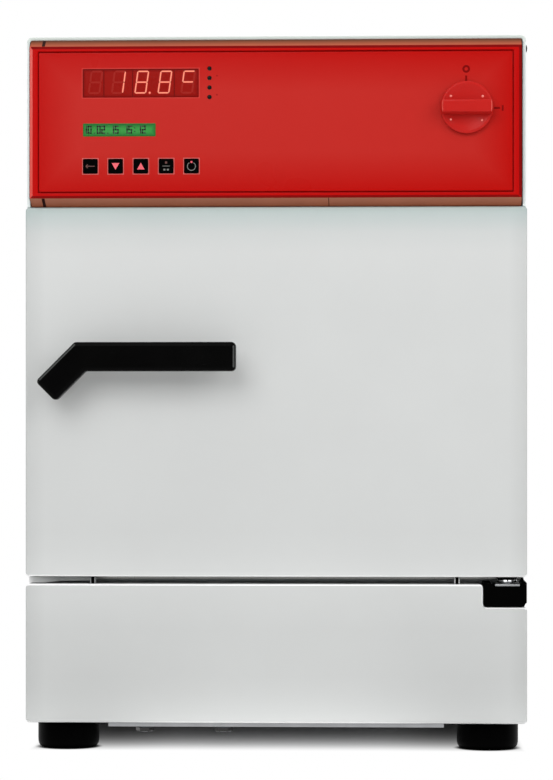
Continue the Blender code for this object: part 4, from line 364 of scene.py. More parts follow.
looks = {
    # painted shade and light: the door's white turns darker towards its sides, lighter towards its bottom,
    # and darker and bluish at its top as painted shadow and reflection under the control head
    "powderCoatDoor": {**powderCoat, "colours": ("DBDDDC", "DEE0DF"),
                       "rim": {"colour": "D2D4D3", "width": 18.0, "limits": faceWidth},
                       "ladder": ((151.4, "F6F6F6"), (157.0, "F3F3F3"), (172.0, "EEEEEE"), (190.0, "EBEBEB"),
                                  (379.0, "ECECEC"), (431.0, "EFEFEF"), (448.5, "E9EBEB"), (457.0, "DFE6E6"),
                                  (467.5, "D4E2E1"))},
    # painted shade and light: the lower panel's white turns darker towards its sides and lighter towards its
    # bottom
    "powderCoatPanel": {**powderCoat, "colours": ("DADCDB", "DDDFDE"),
                        "rim": {"colour": "D0D2D1", "width": 18.0, "limits": faceWidth},
                        "ladder": ((25.0, "FFFFFF"), (30.0, "FDFDFD"), (37.0, "F8F8F8"), (44.0, "F3F3F3"),
                                   (51.0, "EFEFEF"), (65.0, "EBEBEB"), (106.0, "EAEAEA"), (145.0, "F0F0F0"))},
    # painted shade: the casing's white turns darker within its top 8 mm
    "powderCoatCasing": {**powderCoat, "colours": ("F2F9F7", "F4FBF9"), "roughness": (0.38, 0.46),
                         "ladder": ((25.0, "FFFFFF"), (608.0, "FFFFFF"), (615.5, "DADCD8"))},
    # painted shade and light: grey for the plate in the slot's shadow, paler towards its open left end
    "powderCoatShade": {**powderCoat, "colours": ("A4A6A6", "A8AAAA"), "gloss": 0.3,
                        "rim": {"colour": "F6F6F6", "width": 26.0, "limits": (("X", -215.2, -50.0),)}},
    # near-white painted highlight on the folds of the door and the lower panel
    "powderCoatEdge": {**powderCoat, "colours": ("FCFEFD", "FFFFFF"), "gloss": 0.5},
    "redPlastic": {**moulded, "colours": ("B20200", "B60402"), "cloud": 71.43, "roughness": (0.3, 0.38),
                   "bump": 0.06, "gloss": 0.06},
    # pale red painted highlight on the housing's left edge and on the ends of the knob's grip
    "bevelPlastic": {**moulded, "colours": ("CE443A", "D2483E"), "cloud": 16.67, "roughness": (0.2, 0.26)},
    "knobPlastic": {**moulded, "colours": ("B81D19", "BB201C"), "cloud": 33.33, "roughness": (0.2, 0.26),
                    "gloss": 0.1},
    # pale pink painted glints, on four small domes of the knob
    "pinkPaintedGlint": {**moulded, "colours": ("F4887C", "F68E82"), "cloud": 11.11,
                        "roughness": (0.05, 0.08), "bump": 0.02, "gloss": 0.9},
    # tan on the housing's top and bottom slopes: painted reflection, turning darker towards the housing's top
    # and bottom edges as painted shade
    "trimPlastic": {**moulded, "colours": ("F6F6F6", "FFFFFF"), "cloud": 33.33, "roughness": (0.4, 0.5),
                    "grain": 0.5556, "bump": 0.08, "gloss": 0.05,
                    "ladder": ((471.2, "98563C"), (477.6, "B07058"), (607.5, "B8583C"), (612.5, "763C20"),
                               (614.4, "4E2412"))},
    "blackPlastic": {**moulded, "colours": ("020202", "030303"), "cloud": 25.0, "roughness": (0.42, 0.52),
                     "grain": 0.4167, "bump": 0.15, "gloss": 0.012},
    "handlePlastic": {**polyamide, "colours": ("020202", "040404"), "roughness": (0.22, 0.3), "bump": 0.08,
                      "gloss": 0.04},
    # grey painted glint on the lever's rounded edges
    "handleGlint": {**polyamide, "colours": ("3C3E3D", "424443"), "roughness": (0.2, 0.26), "bump": 0.06,
                    "gloss": 0.3},
    # polyester foil over the panel: even and slightly shiny, deeper red towards its rim, its paler middle a
    # painted broad reflection
    "redFoil": {"colours": ("B8251F", "B92721"), "cloud": 90.91, "roughness": (0.26, 0.3), "grain": 0.3846,
                "bump": 0.04, "gloss": 0.07,
                "rim": {"colour": "B20602", "width": 34.0,
                        "limits": (("X", -203.8, 203.8), ("Z", 482.8, 602.8))}},
    # EPDM rubber feet, near black with a dull shine, and a matt grey silicone seal
    "rubber": {"colours": ("000000", "010101"), "cloud": 16.67, "roughness": (0.34, 0.42), "grain": 0.5882,
               "bump": 0.1, "gloss": 0.02},
    "silicone": {"colours": ("4B4D50", "54565A"), "cloud": 22.22, "roughness": (0.6, 0.7), "grain": 0.6667,
                 "bump": 0.15},
    # galvanised sheet, with cloudy zinc crystals
    "zincSteel": {"colours": ("A9ABAD", "B6B8BA"), "cloud": 18.18, "roughness": (0.3, 0.45), "grain": 1.111,
                  "bump": 0.12, "metallic": 1.0},
    "stainless": {**brushedSheet, "stretch": (1, 1, 30)},
    "stainlessFrame": {**brushedSheet, "stretch": (30, 1, 1)},
    # chrome plate on wire mirrors sharply, rolled aluminium fins and drawn copper shine softly, and
    # stoved enamel is a deep glossy black
    "chromedWire": {"colours": ("C9CACC", "D2D3D5"), "cloud": 8.333, "roughness": (0.08, 0.15),
                    "grain": 1.429, "bump": 0.04, "metallic": 1.0},
    "aluminium": {"colours": ("BDBFC1", "C8CACC"), "cloud": 16.67, "roughness": (0.3, 0.4), "grain": 3.333,
                  "bump": 0.12, "metallic": 1.0, "stretch": (1, 12, 1)},
    "copper": {"colours": ("B06A46", "C27A54"), "cloud": 22.22, "roughness": (0.26, 0.42), "grain": 1.667,
               "bump": 0.1, "metallic": 1.0},
    "blackEnamel": {"colours": ("0C0C0D", "111112"), "cloud": 33.33, "roughness": (0.2, 0.3), "grain": 1.25,
                    "bump": 0.12, "coat": 0.3},
    # polyurethane foam with open cells, drawn coarser than they are so that they show
    "foam": {"colours": ("D6C68C", "DFD09A"), "cloud": 20.0, "roughness": (0.85, 0.95), "grain": 1.429,
             "bump": 0.6, "cells": True, "height": 0.4},
    # glass-fibre board under green solder mask, the cells standing for its copper tracks
    "circuitBoard": {"colours": ("14502A", "1A5E32"), "cloud": 6.25, "roughness": (0.35, 0.45),
                     "grain": 2.381, "bump": 0.25, "cells": True},
    # tinted acrylic windows, darker at their edges as painted shade of their recess, and what shows in them
    "redLens": {"colours": ("8C0E08", "90120A"), "cloud": 25.0, "roughness": (0.14, 0.2), "grain": 0.8333,
                "bump": 0.03, "gloss": 0.05,
                "rim": {"colour": "700604", "width": 3.0,
                        "limits": (("X", -165.7, -65.7), ("Z", 564.0, 588.6))}},
    "greenLens": {"colours": ("2F8A38", "379040"), "cloud": 16.67, "roughness": (0.16, 0.22), "grain": 1.111,
                  "bump": 0.04, "gloss": 0.2,
                  "rim": {"colour": "136024", "width": 4.0,
                          "limits": (("X", -165.5, -102.7), ("Z", 530.5, 541.3))}},
    "darkSegment": {**segment, "colours": ("941A12", "981E16"), "gloss": 0.08},
    # dark red painted shadow along the display window's top and left edges, also the dark joints between its
    # digit modules
    "lensPaintedShadeAndJoint": {**segment, "colours": ("660402", "6C0804"), "gloss": 0.05},
    "liquidCrystal": {**segment, "colours": ("041A08", "081E0C"), "roughness": (0.3, 0.4)},
    "litSegment": {**litStroke, "light": "FF9C7C"},
    "litRim": {**litStroke, "light": "DC3C28"},
    "lampBlack": {**segment, "colours": ("010301", "020402"), "roughness": (0.1, 0.14), "grain": 0.6667,
                  "bump": 0.03, "gloss": 0.15},
    # dark red print of the marks, also painted shade along the housing's front edges
    "darkPrintAndPaintedShade": {**ink, "colours": ("7A0202", "7E0404"), "roughness": (0.4, 0.5), "gloss": 0.05},
    "palePrint": {**ink, "colours": ("C0544E", "C65A56")},
    "pinkPrint": {**ink, "colours": ("E2525E", "E65A66")},
    "dullPrint": {**ink, "colours": ("5E2E2A", "643630")},
    "greyPrint": {**ink, "colours": ("72706C", "7A7874")},
    "rimPrint": {**ink, "colours": ("C03630", "C43A34"), "roughness": (0.4, 0.5), "gloss": 0.1},
    # near black for the joint lines on the slopes, and painted shade in the gap between housing and casing
    # and on the housing's outer sides
    "seamShadow": {**ink, "colours": ("240604", "2A0A06"), "roughness": (0.6, 0.7), "gloss": 0.05},
    # tempered float glass: clear, faintly green, with a very slight wave in its surface
    "safetyGlass": {"colours": ("E6F2EE", "E8F4F0"), "cloud": 333.3, "roughness": (0.02, 0.03),
                    "grain": 71.43, "bump": 0.02, "clear": 1.0},
}
finishes = {name: surfaceFinish(name, look) for name, look in looks.items()}
print("materials made:", len(finishes))

nodeFinishes = {
    "powderCoatCasing": ["outer_casing"],
    "zincSteel": ["rear_cover", "fan_motor", "machine_deck", "base_pan", "upper_hinge_bracket",
                  "lower_hinge_plate", "latch_keeper", "latch_spindle"],
    "blackPlastic": ["side_plug", "condenser_fan_frame", "power_inlet", "main_switch", "lower_hinge_bracket",
                     "lower_door_bush", "upper_door_bush", "glass_knob", "condenser_fan",
                     "key_1", "key_2", "key_3", "key_4", "key_5"],
    "powderCoatDoor": ["door_shell"],
    "powderCoatPanel": ["lower_front_panel"],
    "handlePlastic": ["handle_lever"],
    "stainless": ["chamber_liner", "air_baffle", "heater_ring", "temperature_probe", "lower_glass_clip",
                  "upper_glass_clip"],
    "stainlessFrame": ["front_frame", "door_liner"],
    "foam": ["chamber_insulation", "door_insulation"],
    "chromedWire": ["lower_shelf", "upper_shelf"],
    "aluminium": ["evaporator", "condenser", "circulation_fan"],
    "rubber": ["front_left_foot", "front_right_foot", "rear_left_foot", "rear_right_foot"],
    "silicone": ["door_seal"],
    "blackEnamel": ["compressor"],
    "copper": ["filter_drier", "discharge_line", "liquid_line", "capillary_line", "suction_line"],
    "circuitBoard": ["power_board", "key_board"],
    "redPlastic": ["control_housing"],
    "knobPlastic": ["switch_knob"],
    "redFoil": ["control_panel"],
    "redLens": ["display_window"],
    "greenLens": ["text_window"],
    "safetyGlass": ["glass_pane"],
}
for finishName, nodes in nodeFinishes.items():
    for node in nodes:
        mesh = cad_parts[node].data
        mesh.materials.clear()
        mesh.materials.append(finishes[finishName])
print("finishes put on the solids")


# Cabinet

cabinet = {"half": 215.5, "face": 216.5, "top": 618.0, "bottom": 25.0, "sheet": 1.5, "fold": 4.5,
           "hoodFront": 2.0, "sideFront": 44.3, "hoodBottom": 470.8, "back": 514.2, "hem": 12.0,
           "panelTop": 145.0, "doorBottom": 151.4, "doorTop": 470.4, "middle": 310.9}


def casingShape(c):
    # sheet bent to an arch; each column of the grid goes round the sheet's section, its front end
    # at the hood's depth above the door, folded double there, and at the front frame's depth below
    half, top, fold = c["half"], c["top"], c["fold"]
    bend = quarter(fold, 180, 90, 9)
    left = [(-half, c["bottom"]), (-half, c["hoodBottom"] - 0.01), (-half, c["hoodBottom"] + 0.01)]
    left += [(-half + fold + u, top - fold + v) for u, v in bend]
    path = np.array(left + [(-u, v) for u, v in reversed(left)])
    normal = np.zeros_like(path)
    normal[:3] = (-1, 0)
    normal[3:12] = bend / fold
    normal[12:21] = (bend / fold * (-1, 1))[::-1]
    normal[21:] = (1, 0)
    hood = path[:, 1] > c["hoodBottom"]
    front = np.where(hood, c["hoodFront"], c["sideFront"])
    thick = np.where(hood, 2 * c["sheet"], c["sheet"])
    hem = np.where(hood, c["hem"], 0.5)
    corner = np.array([[0.0, 0.6], [0.09, 0.26], [0.26, 0.09], [0.6, 0.0]])
    inset = [0 * thick] + [u + 0 * thick for u, _ in corner] + [thick - u for u, _ in corner[::-1]]
    inset = np.array(inset + [thick, 0 * thick + c["sheet"], 0 * thick + c["sheet"]])
    deep = [0 * front + c["back"]] + [front + v for _, v in corner] + [front + v for _, v in corner[::-1]]
    deep = np.array(deep + [front + hem, front + hem + 0.2, 0 * front + c["back"]])
    flat = path[None] - inset[:, :, None] * normal[None]
    return surface(place(flat[..., 0], deep, flat[..., 1]).transpose(1, 0, 2))


makePiece("casing", casingShape(cabinet), "powderCoatCasing", "cabinet", "outer_casing")

sidePlug = {"centre": (215.5, 20.0, 608.4), "stem": 2.1, "radius": 3.6, "lift": 0.3, "dome": 1.6}
row = [(0, -1.5), (sidePlug["stem"], -1.5), (sidePlug["stem"], 0.05), (sidePlug["radius"] - 0.1, 0.05)]
row += [(sidePlug["radius"] * math.cos(t), sidePlug["lift"] + sidePlug["dome"] * math.sin(t))
        for t in np.linspace(0, 1.5, 6)]
row += [(0, sidePlug["lift"] + sidePlug["dome"] + 0.05)]
makePiece("blindPlug", lathe(row, "x", sidePlug["centre"], 24), "blackPlastic", "cabinet",
          "side_plug")

lowerPanel = {"radius": 3.3, "sheet": 1.5, "fold": 1.7, "back": 44.0, "notchLeft": 178.8, "notchLow": 125.5}
half, low, high = cabinet["face"], cabinet["bottom"], cabinet["panelTop"]
corners = [(-half, low), (half, low), (half, lowerPanel["notchLow"]),
           (lowerPanel["notchLeft"], lowerPanel["notchLow"]), (lowerPanel["notchLeft"], high), (-half, high)]
shape = tray(corners, lowerPanel["radius"], lowerPanel["sheet"], lowerPanel["fold"], lowerPanel["back"])
panelPiece = makePiece("lowerPanel", shape, "powderCoatPanel", "cabinet",
                       "lower_front_panel")
normals, centres, deep = facesOf(panelPiece)
levelFolds = np.abs(normals[:, 2]) > 0.3
notchFold = (normals[:, 0] > 0.3) & (centres[:, 0] < 200)
# painted highlight: the lower panel's upward and downward folds and the notch's side fold are near white
paintFaces(panelPiece, {"powderCoatEdge": (deep < 2.0) & (levelFolds | notchFold)})

hinge = {"left": 179.1, "right": 216.2, "low": 125.8, "top": 146.5, "seat": 143.0, "back": 44.0,
         "plate": (188.8, 210.5, 143.3, 145.5), "pin": (199.4, 12.0, 0)}
left, right, low, top, seat = (hinge[key] for key in ("left", "right", "low", "top", "seat"))
corners = [(left, low), (right - 2.5, low), (right - 1.0, low + 3.0), (right, low + 3.6), (right, top),
           (right - 1.5, top + 1.4), (right - 4.0, top + 0.6), (right - 5.0, seat), (left + 9.0, seat),
           (left + 6.0, top), (left, top)]
makePiece("hingeBlock", plate(corners, 0.8, -0.8, hinge["back"], 0.4), "blackPlastic", "cabinet",
          "lower_hinge_bracket", 40)
steelPlate = plate(boxOutline(*hinge["plate"]), 0.75, 1.0, hinge["back"], 0.5)
z = hinge["plate"][2] + 1
pinRow = [(0, z), (5.5, z), (5.5, 146.6), (4.0, 146.6), (4.0, 162.4), (3.0, 163.4), (0, 163.4)]
makePiece("hingePlate", joinParts([steelPlate, lathe(pinRow, "z", hinge["pin"])]), "zincSteel", "cabinet",
          "lower_hinge_plate")
washerRow = [(4.1, 146.4), (7.6, 146.4), (8.3, 146.9), (8.6, 147.8), (8.3, 148.7), (7.6, 149.2), (4.1, 149.2)]
makePiece("hingeWasher", lathe(washerRow, "z", hinge["pin"], 64, True), "chromedWire", "cabinet")

stop = {"plate": (-215.2, -160.3, 145.4, 150.4), "front": 13.0, "back": 40.0, "clips": (-158.8, 156.4),
        "width": 2.6, "cheek": 0.7, "clipFront": 5.0, "clipBack": 18.0, "top": 150.6,
        "buffer": (211.3, 213.5, 146.6, 150.4)}
x0, x1, z0, z1 = stop["plate"]
corners = [(x0, z0), (x0 + 14.0, z0), (x0 + 28.0, z0 + 1.5), (x1, z0 + 1.9), (x1, z1), (x0, z1)]
metal, black = [plate(corners, 0.6, stop["front"], stop["back"], 0.5)], []
half = stop["width"] / 2
for x in stop["clips"]:
    black.append(plate(boxOutline(x - half, x + half, z0, stop["top"]), 0.4, stop["clipFront"],
                       stop["clipBack"], 0.2))
    for side in (-1, 1):
        a, b = sorted((x + side * (half + 0.1), x + side * (half + 0.1 + stop["cheek"])))
        metal.append(plate(boxOutline(a, b, z0, z1), 0.2, stop["clipFront"] + 1.0, stop["clipBack"], 0.1))
black.append(plate(boxOutline(*stop["buffer"]), 0.4, 1.0, 14.0, 0.3))
# its grey is painted shade of the slot, and its paler left end is painted light
makePiece("stopPlate", joinParts(metal), "powderCoatShade", "cabinet")
makePiece("slotClips", joinParts(black), "blackPlastic", "cabinet")

foot = {"x": 183.8, "deep": (46.0, 470.0), "flange": (145.0, 206.0), "reach": 27.5, "low": 22.6, "high": 24.7}
footRow = [(0, 0), (21.5, 0), (23.2, 0.3), (25.0, 1.4), (26.2, 3.2), (26.7, 5.5), (26.8, 8.0), (26.8, 21.0),
           (26.3, 23.2), (25.0, 24.4), (23.0, 24.7), (0, 24.7)]
# black rubber plates above the feet: a dark sheet standing for the shade in the gap under the lower panel,
# painted shade
flanges = []
for across, side in (("left", -1), ("right", 1)):
    for along, deep in zip(("front", "rear"), foot["deep"]):
        makePiece(f"{along}{across.title()}Foot", lathe(footRow, "z", (side * foot["x"], deep, 0), 56),
                  "rubber", "cabinet", f"{along}_{across}_foot", 50)
        x0, x1 = sorted(side * x for x in foot["flange"])
        flanges.append(plate(boxOutline(x0, x1, foot["low"], foot["high"]), 0.5, deep - foot["reach"],
                             deep + foot["reach"], 0.4))
makePiece("footShadePlates", joinParts(flanges), "rubber", "cabinet")

bolt = {"x": (-117.8, -48.2), "deep": (62.0, 202.0), "acrossFlats": 14.0, "low": 11.9, "high": 15.5}
radius = bolt["acrossFlats"] / 2 / math.cos(math.pi / 6)
row = [(0, bolt["low"]), (radius - 1.2, bolt["low"]), (radius, bolt["low"] + 0.8), (radius, bolt["high"]),
       (0, bolt["high"])]
heads = [lathe(row, "z", (x, deep, 0), 6) for x in bolt["x"] for deep in bolt["deep"]]
makePiece("boltHeads", joinParts(heads), "blackEnamel", "cabinet", sharp=25)
print("cabinet made")


# Door, seal and handle

door = {"radius": 3.3, "sheet": 1.5, "fold": 1.6, "back": 36.0, "rim": 80.0, "slope": 8.0, "pressed": 3.0,
        "panMargin": 1.8}
half, low, high = cabinet["face"], cabinet["doorBottom"], cabinet["doorTop"]
shape = tray(boxOutline(-half, half, low, high + 0.2), door["radius"], door["sheet"], door["fold"],
             door["back"])
doorPiece = makePiece("doorShell", shape, "powderCoatDoor", "door", "door_shell")
normals, centres, deep = facesOf(doorPiece)
# painted highlight: the door's downward fold at its front is near white
paintFaces(doorPiece, {"powderCoatEdge": (deep < 2.0) & (normals[:, 2] < -0.3)})


def doorPanRows(d):
    # rounded rectangles at a margin from the door's edge: pressed middle, rim and hem of the inner pan,
    # first its front skin, then its back one a sheet's thickness behind
    rim, slope, hem = d["rim"], d["slope"], d["panMargin"]
    front, back = d["back"] - d["sheet"], d["back"]
    ease = np.linspace(0, 1, 9)
    ease = np.stack([ease, ease * ease * (3 - 2 * ease)], axis=1)  # smooth step from rim to pressing
    margins = [(rim + slope * 1.05, front + d["pressed"])]
    margins += [(rim + slope * u, front + d["pressed"] * v) for u, v in ease[::-1]]
    margins += [(hem + 0.4, front), (hem, front + 0.3), (hem, back - 0.3), (hem + 0.3, back),
                (rim - 1.4, back)]
    margins += [(rim - 1.0 + slope * u, back + d["pressed"] * v) for u, v in ease]
    margins += [(rim + slope * 1.05 - 1.0, back + d["pressed"])]
    return [(m - half, half - m, low + m, high - m, max(1.0, min(6.0, m / 14)), deep) for m, deep in margins]


makePiece("doorPan", frameSurface(doorPanRows(door)), "stainlessFrame", "door",
          "door_liner")

seal = {"left": -171.5, "right": 179.5, "low": 193.4, "high": 428.4, "front": 36.3, "back": 44.0,
        "width": 7.0}


def sealSection(s):
    # waisted section (out, deep), its corners cut off at a quarter and three quarters, twice
    front, back, width = s["front"], s["back"], s["width"]
    waist = front + 0.35 * (back - front)
    points = np.array([(0.0, front), (width, front), (width * 0.72, waist), (width, back - 1.0),
                       (width * 0.7, back), (width * 0.3, back), (0.0, back - 1.0), (width * 0.28, waist)])
    for _ in range(2):
        on = np.roll(points, -1, axis=0)
        points = np.stack([0.75 * points + 0.25 * on, 0.25 * points + 0.75 * on], axis=1).reshape(-1, 2)
    return points


rows = [(seal["left"] - out, seal["right"] + out, seal["low"] - out, seal["high"] + out, 4.0 + out, deep)
        for out, deep in sealSection(seal)]
makePiece("doorSeal", frameSurface(rows, True, 8), "silicone", "door", "door_seal", 60)

bush = {"bore": 4.3, "radius": 9.0, "length": 16.0, "collar": 1.8}
for name, node, edge, way in (("lowerBush", "lower_door_bush", low, 1),
                              ("upperBush", "upper_door_bush", high, -1)):
    bore, radius, collar = bush["bore"], bush["radius"], bush["collar"]
    row = [(bore, -0.1), (radius + 0.4, -0.1), (radius + 0.4, 0.2), (radius, 0.6), (radius, bush["length"]),
           (bore, bush["length"])]
    if way == 1:  # only the lower bush has a collar below the door
        row[:1] = [(bore, -collar), (radius - 0.6, -collar), (radius - 0.2, -collar + 0.4),
                   (radius - 0.2, -0.2)]
    row = [(r, edge + way * along) for r, along in row]
    makePiece(name, lathe(row, "z", hinge["pin"], 40, True), "blackPlastic", "door", node)

handle = {"spindle": (-187.0, 320.5), "length": 152.9, "barHeight": 24.9, "barRise": 20.0, "legWidth": 24.2,
          "legTail": 13.7, "front": -40.0, "back": -26.0, "edge": 3.2, "corner": 3.8, "hub": 9.5,
          "shift": 1.5}


def leverCorners(h):
    # leg at 45 degrees down to the left of the spindle, then the level bar
    along, across = math.sqrt(0.5) * h["legTail"], math.sqrt(0.5) * h["legWidth"] / 2
    upper, lower = (-along - across, -along + across), (-along + across, -along - across)
    top, bottom = h["barRise"] + h["barHeight"] / 2, h["barRise"] - h["barHeight"] / 2
    corners = [(h["length"], top), (upper[0] + top - upper[1], top), upper, lower,
               (lower[0] + bottom - lower[1], bottom), (h["length"], bottom)]
    return [(h["spindle"][0] + h["shift"] + x, h["spindle"][1] + z) for x, z in corners]


lever = plate(leverCorners(handle), handle["corner"], handle["front"], handle["back"], handle["edge"], 1.2)
radius = handle["hub"]
hubRow = [(0, -27.0), (8.2, -27.0), (8.6, -25.6), (radius, -23.0), (radius, -1.2), (radius - 0.6, -0.6),
          (0, -0.6)]
hub = lathe(hubRow, "y", (handle["spindle"][0], 0, handle["spindle"][1]))
leverPiece = makePiece("leverHandle", joinParts([lever, hub]), "handlePlastic", "door_handle",
                       "handle_lever", 40)
normals, centres, deep = facesOf(leverPiece)
# painted glint: faces of the lever's front rounding that face up and left, or right, are grey
turned = (deep < handle["front"] + 2.2) & (normals[:, 1] < -0.7) & (normals[:, 1] > -0.95)
towards = np.degrees(np.arctan2(normals[:, 2], normals[:, 0]))  # 0 to the right, 135 up to the left
paintFaces(leverPiece, {"handleGlint": turned & ((np.abs(towards - 135) < 12) | (np.abs(towards) < 12))})
print("door made")


# Inner glass door, chamber and shelves

pane = {"box": (-169.0, 168.0, 195.9, 425.9), "front": 46.2, "thick": 4.0, "corner": 5.0, "edge": 0.8}
rim = [(pane["edge"] + 0.4, 0.0), (pane["edge"], 0.0), (0.23, 0.23), (0.0, pane["edge"])]
rim += [(inset, pane["thick"] - deep) for inset, deep in rim[::-1]]
rows = insetRows(pane["box"], pane["corner"], [(inset, pane["front"] + deep) for inset, deep in rim])
makePiece("glassPane", frameSurface(rows), "safetyGlass", "glass_door", "glass_pane")

paneKnob = {"x": pane["box"][0] + 13.0, "back": pane["front"] - 0.3}
knobRow = [(0, -6.0), (5.4, -6.0), (6.4, -5.7), (7.0, -4.9), (7.0, -3.8), (5.6, -2.6), (4.6, -1.6),
           (4.7, -0.6), (5.5, 0), (0, 0)]
makePiece("paneKnob", lathe(knobRow, "y", (paneKnob["x"], paneKnob["back"], cabinet["middle"]), 40),
          "blackPlastic", "glass_door", "glass_knob")

chamber = {"half": 165.0, "low": 199.9, "high": 421.9, "front": 54.6, "back": 368.6, "sheet": 1.0,
           "corner": 12.0, "runnerReach": 7.0, "runnerHeight": 8.0, "runnerPitch": 37.0, "bend": 0.8}
runnerTops = [cabinet["middle"] + chamber["runnerPitch"] * level for level in (-2, -1, 0, 1, 2)]


def linerOutline(c, grow):
    # the chamber's section, going up the right wall with its pressed runners, then mirrored
    wall, radius, bend = c["half"] + grow, c["corner"] + grow, c["bend"]
    low, high = c["low"] - grow, c["high"] + grow
    tip = wall - c["runnerReach"] + bend
    right = [(wall - radius + u, low + radius + v) for u, v in quarter(radius, -90, 0, 9)]
    for z in runnerTops:
        right.append((wall, z - c["runnerHeight"] + grow))
        right += [(tip + u, z - 4.0 + grow + v) for u, v in quarter(bend, 205, 180, 4)]
        right += [(tip + u, z - grow - bend + v) for u, v in quarter(bend, 180, 90, 4)]
        right.append((wall, z - grow))
    right += [(wall - radius + u, high - radius + v) for u, v in quarter(radius, 0, 90, 9)]
    return np.array(right + [(-u, v) for u, v in reversed(right)])


inner, outer = linerOutline(chamber, 0.0), linerOutline(chamber, chamber["sheet"])
front, back = chamber["front"], chamber["back"]
grid = np.array([place(outline[:, 0], deep, outline[:, 1]) for outline, deep in (
    (inner, back), (inner, front + 0.3), (inner * 0.3 + outer * 0.7, front), (outer, front + 0.3),
    (outer, back + chamber["sheet"]))])
makePiece("chamberLiner", surface(grid), "stainless", "cabinet", "chamber_liner", 25)

shelf = {"half": 163.5, "front": 64.6, "depth": 255.0, "rail": 3.0, "middleRod": 2.4, "wire": 1.5,
         "wires": 19}


def shelfShape(s, runner):
    # two side rails, three cross rods and thin wires welded on top, whose ends turn down over the rods
    z = runner + 0.3 + s["rail"]
    inner, front, back = s["half"] - s["rail"], s["front"], s["front"] + s["depth"]
    parts = [tube([(side * inner, front, z), (side * inner, back, z)], s["rail"], 16) for side in (-1, 1)]
    for i, radius in enumerate((s["rail"], s["middleRod"], s["rail"])):
        deep = front + s["rail"] + (s["depth"] - 2 * s["rail"]) * i / 2
        parts.append(tube([(-inner, deep, z), (inner, deep, z)], radius, 16))
    for i in range(s["wires"]):
        x = (i + 1) / (s["wires"] + 1) * 2 * inner - inner
        bend = [(x, front + 1.4, z + 1.2), (x, front + 1.8, z + 2.4), (x, front + 3.2, z + 3.0)]
        bend += [(x, front + back - deep, height) for _, deep, height in reversed(bend)]
        parts.append(tube(bend, s["wire"], 8))
    return joinParts(parts)


for name, node, level in (("lowerShelf", "lower_shelf", 1), ("upperShelf", "upper_shelf", 3)):
    makePiece(name, shelfShape(shelf, runnerTops[level]), "chromedWire", "cabinet", node, 50)
print("chamber made")


# Control head

head = {"half": 211.9, "low": 471.0, "high": 614.4, "front": -12.0, "back": 44.0, "wall": 2.5,
        "topHeight": 6.4, "topDeep": -2.0, "lowHeight": 6.4, "lowDeep": 2.0, "round": 0.7,
        "pocket": (-204.4, 204.4, 481.8, 603.8), "pocketDeep": -9.3}


def headRow(deep, inset=0.0):
    # outline of the housing at a depth: its top and bottom slope in towards the face, its side
    # edges are rounded over by a quarter circle
    h = head
    reach = max(0.0, (h["topDeep"] - deep) / (h["topDeep"] - h["front"])) * h["topHeight"]
    climb = max(0.0, (h["lowDeep"] - deep) / (h["lowDeep"] - h["front"])) * h["lowHeight"]
    over = min(h["round"], max(0.0, h["front"] + h["round"] - deep))
    side = h["half"] - inset - h["round"] + math.sqrt(h["round"] ** 2 - over ** 2)
    return (-side, side, h["low"] + climb + inset, h["high"] - reach - inset, 0.8, deep)


face, wall = head["front"], head["wall"]
rows = [headRow(-6.0, wall + 2.0)]
rows += [headRow(deep, wall) for deep in (-6.0, head["topDeep"], head["lowDeep"], head["back"])]
rows += [headRow(deep) for deep in (head["back"], head["lowDeep"], head["topDeep"])]
rows += [headRow(face + head["round"] * (1 - math.sin(t))) for t in np.linspace(0, 1.2, 6)]
rows += [headRow(face + 0.02, 0.1), headRow(face, 0.5), headRow(face, 2.1), headRow(face, 3.4)]
rows += insetRows(head["pocket"], 0.6, [(-0.6, face)]) + insetRows(head["pocket"], 0.9, [(-0.1, face + 0.15)])
rows += insetRows(head["pocket"], 1.0, [(0.0, face + 0.5), (0.0, head["pocketDeep"])])
rows += insetRows(head["pocket"], 2.0, [(1.0, head["pocketDeep"])])
housing = makePiece("controlHousing", frameSurface(rows), "redPlastic", "cabinet",
                    "control_housing", 24)
normals, centres, deep = facesOf(housing)
x, z = centres[:, 0], centres[:, 2]
outside = (z < head["pocket"][2] - 2) | (z > head["pocket"][3] + 2)
edge = (z > head["high"] - head["topHeight"] - 1.7) | (z < head["low"] + head["lowHeight"] + 1.3)
flatFront, fromLeft = deep < face + 0.1, x + head["half"]
# painted light and shade on the housing: painted reflection on its slopes, dark red painted shade along its
# top and bottom front edges, inside its left edge and along its right edge, a pale painted highlight on its
# left edge, black painted shade on its outer sides
paintFaces(housing, {
    "trimPlastic": ~flatFront & (deep < 1.9) & (np.abs(normals[:, 2]) > 0.3) & outside,
    "darkPrintAndPaintedShade": flatFront & ((outside & edge) | ((fromLeft > 2.1) & (fromLeft < 3.4))
                              | (x > head["half"] - 2.1)),
    "bevelPlastic": flatFront & (fromLeft > 0.5) & (fromLeft < 2.1),
    "seamShadow": (deep < 30) & (np.abs(x) > head["half"] - 0.7) & (np.abs(normals[:, 0]) > 0.3)})

panel = {"box": (-203.5, 203.5, 483.1, 602.5), "front": -12.0, "corner": 1.2}
rows = insetRows(panel["box"], panel["corner"], (
    (0.3, -9.5), (0.0, -9.7), (0.0, -11.75), (0.07, -11.93), (0.25, -12.0), (0.8, -12.0)))
makePiece("frontPanel", frameSurface(rows), "redFoil", "cabinet", "control_panel")

windows = {"display": (-165.7, -65.7, 564.0, 588.6), "text": (-165.45, -102.75, 530.5, 541.8), "corner": 0.8,
           "front": -12.12}
windowSteps = [(0.1, 1.7), (0.0, 1.0), (0.0, -12.0), (0.04, windows["front"] + 0.03),
               (0.14, windows["front"]), (0.5, windows["front"])]
for name, node, key, slotName, finishName in (
        ("displayLens", "display_window", "display", "display_red", "redLens"),
        ("textLens", "text_window", "text", "display_green", "greenLens")):
    makePiece(name, frameSurface(insetRows(windows[key], windows["corner"], windowSteps)), finishName,
              "cabinet", node)


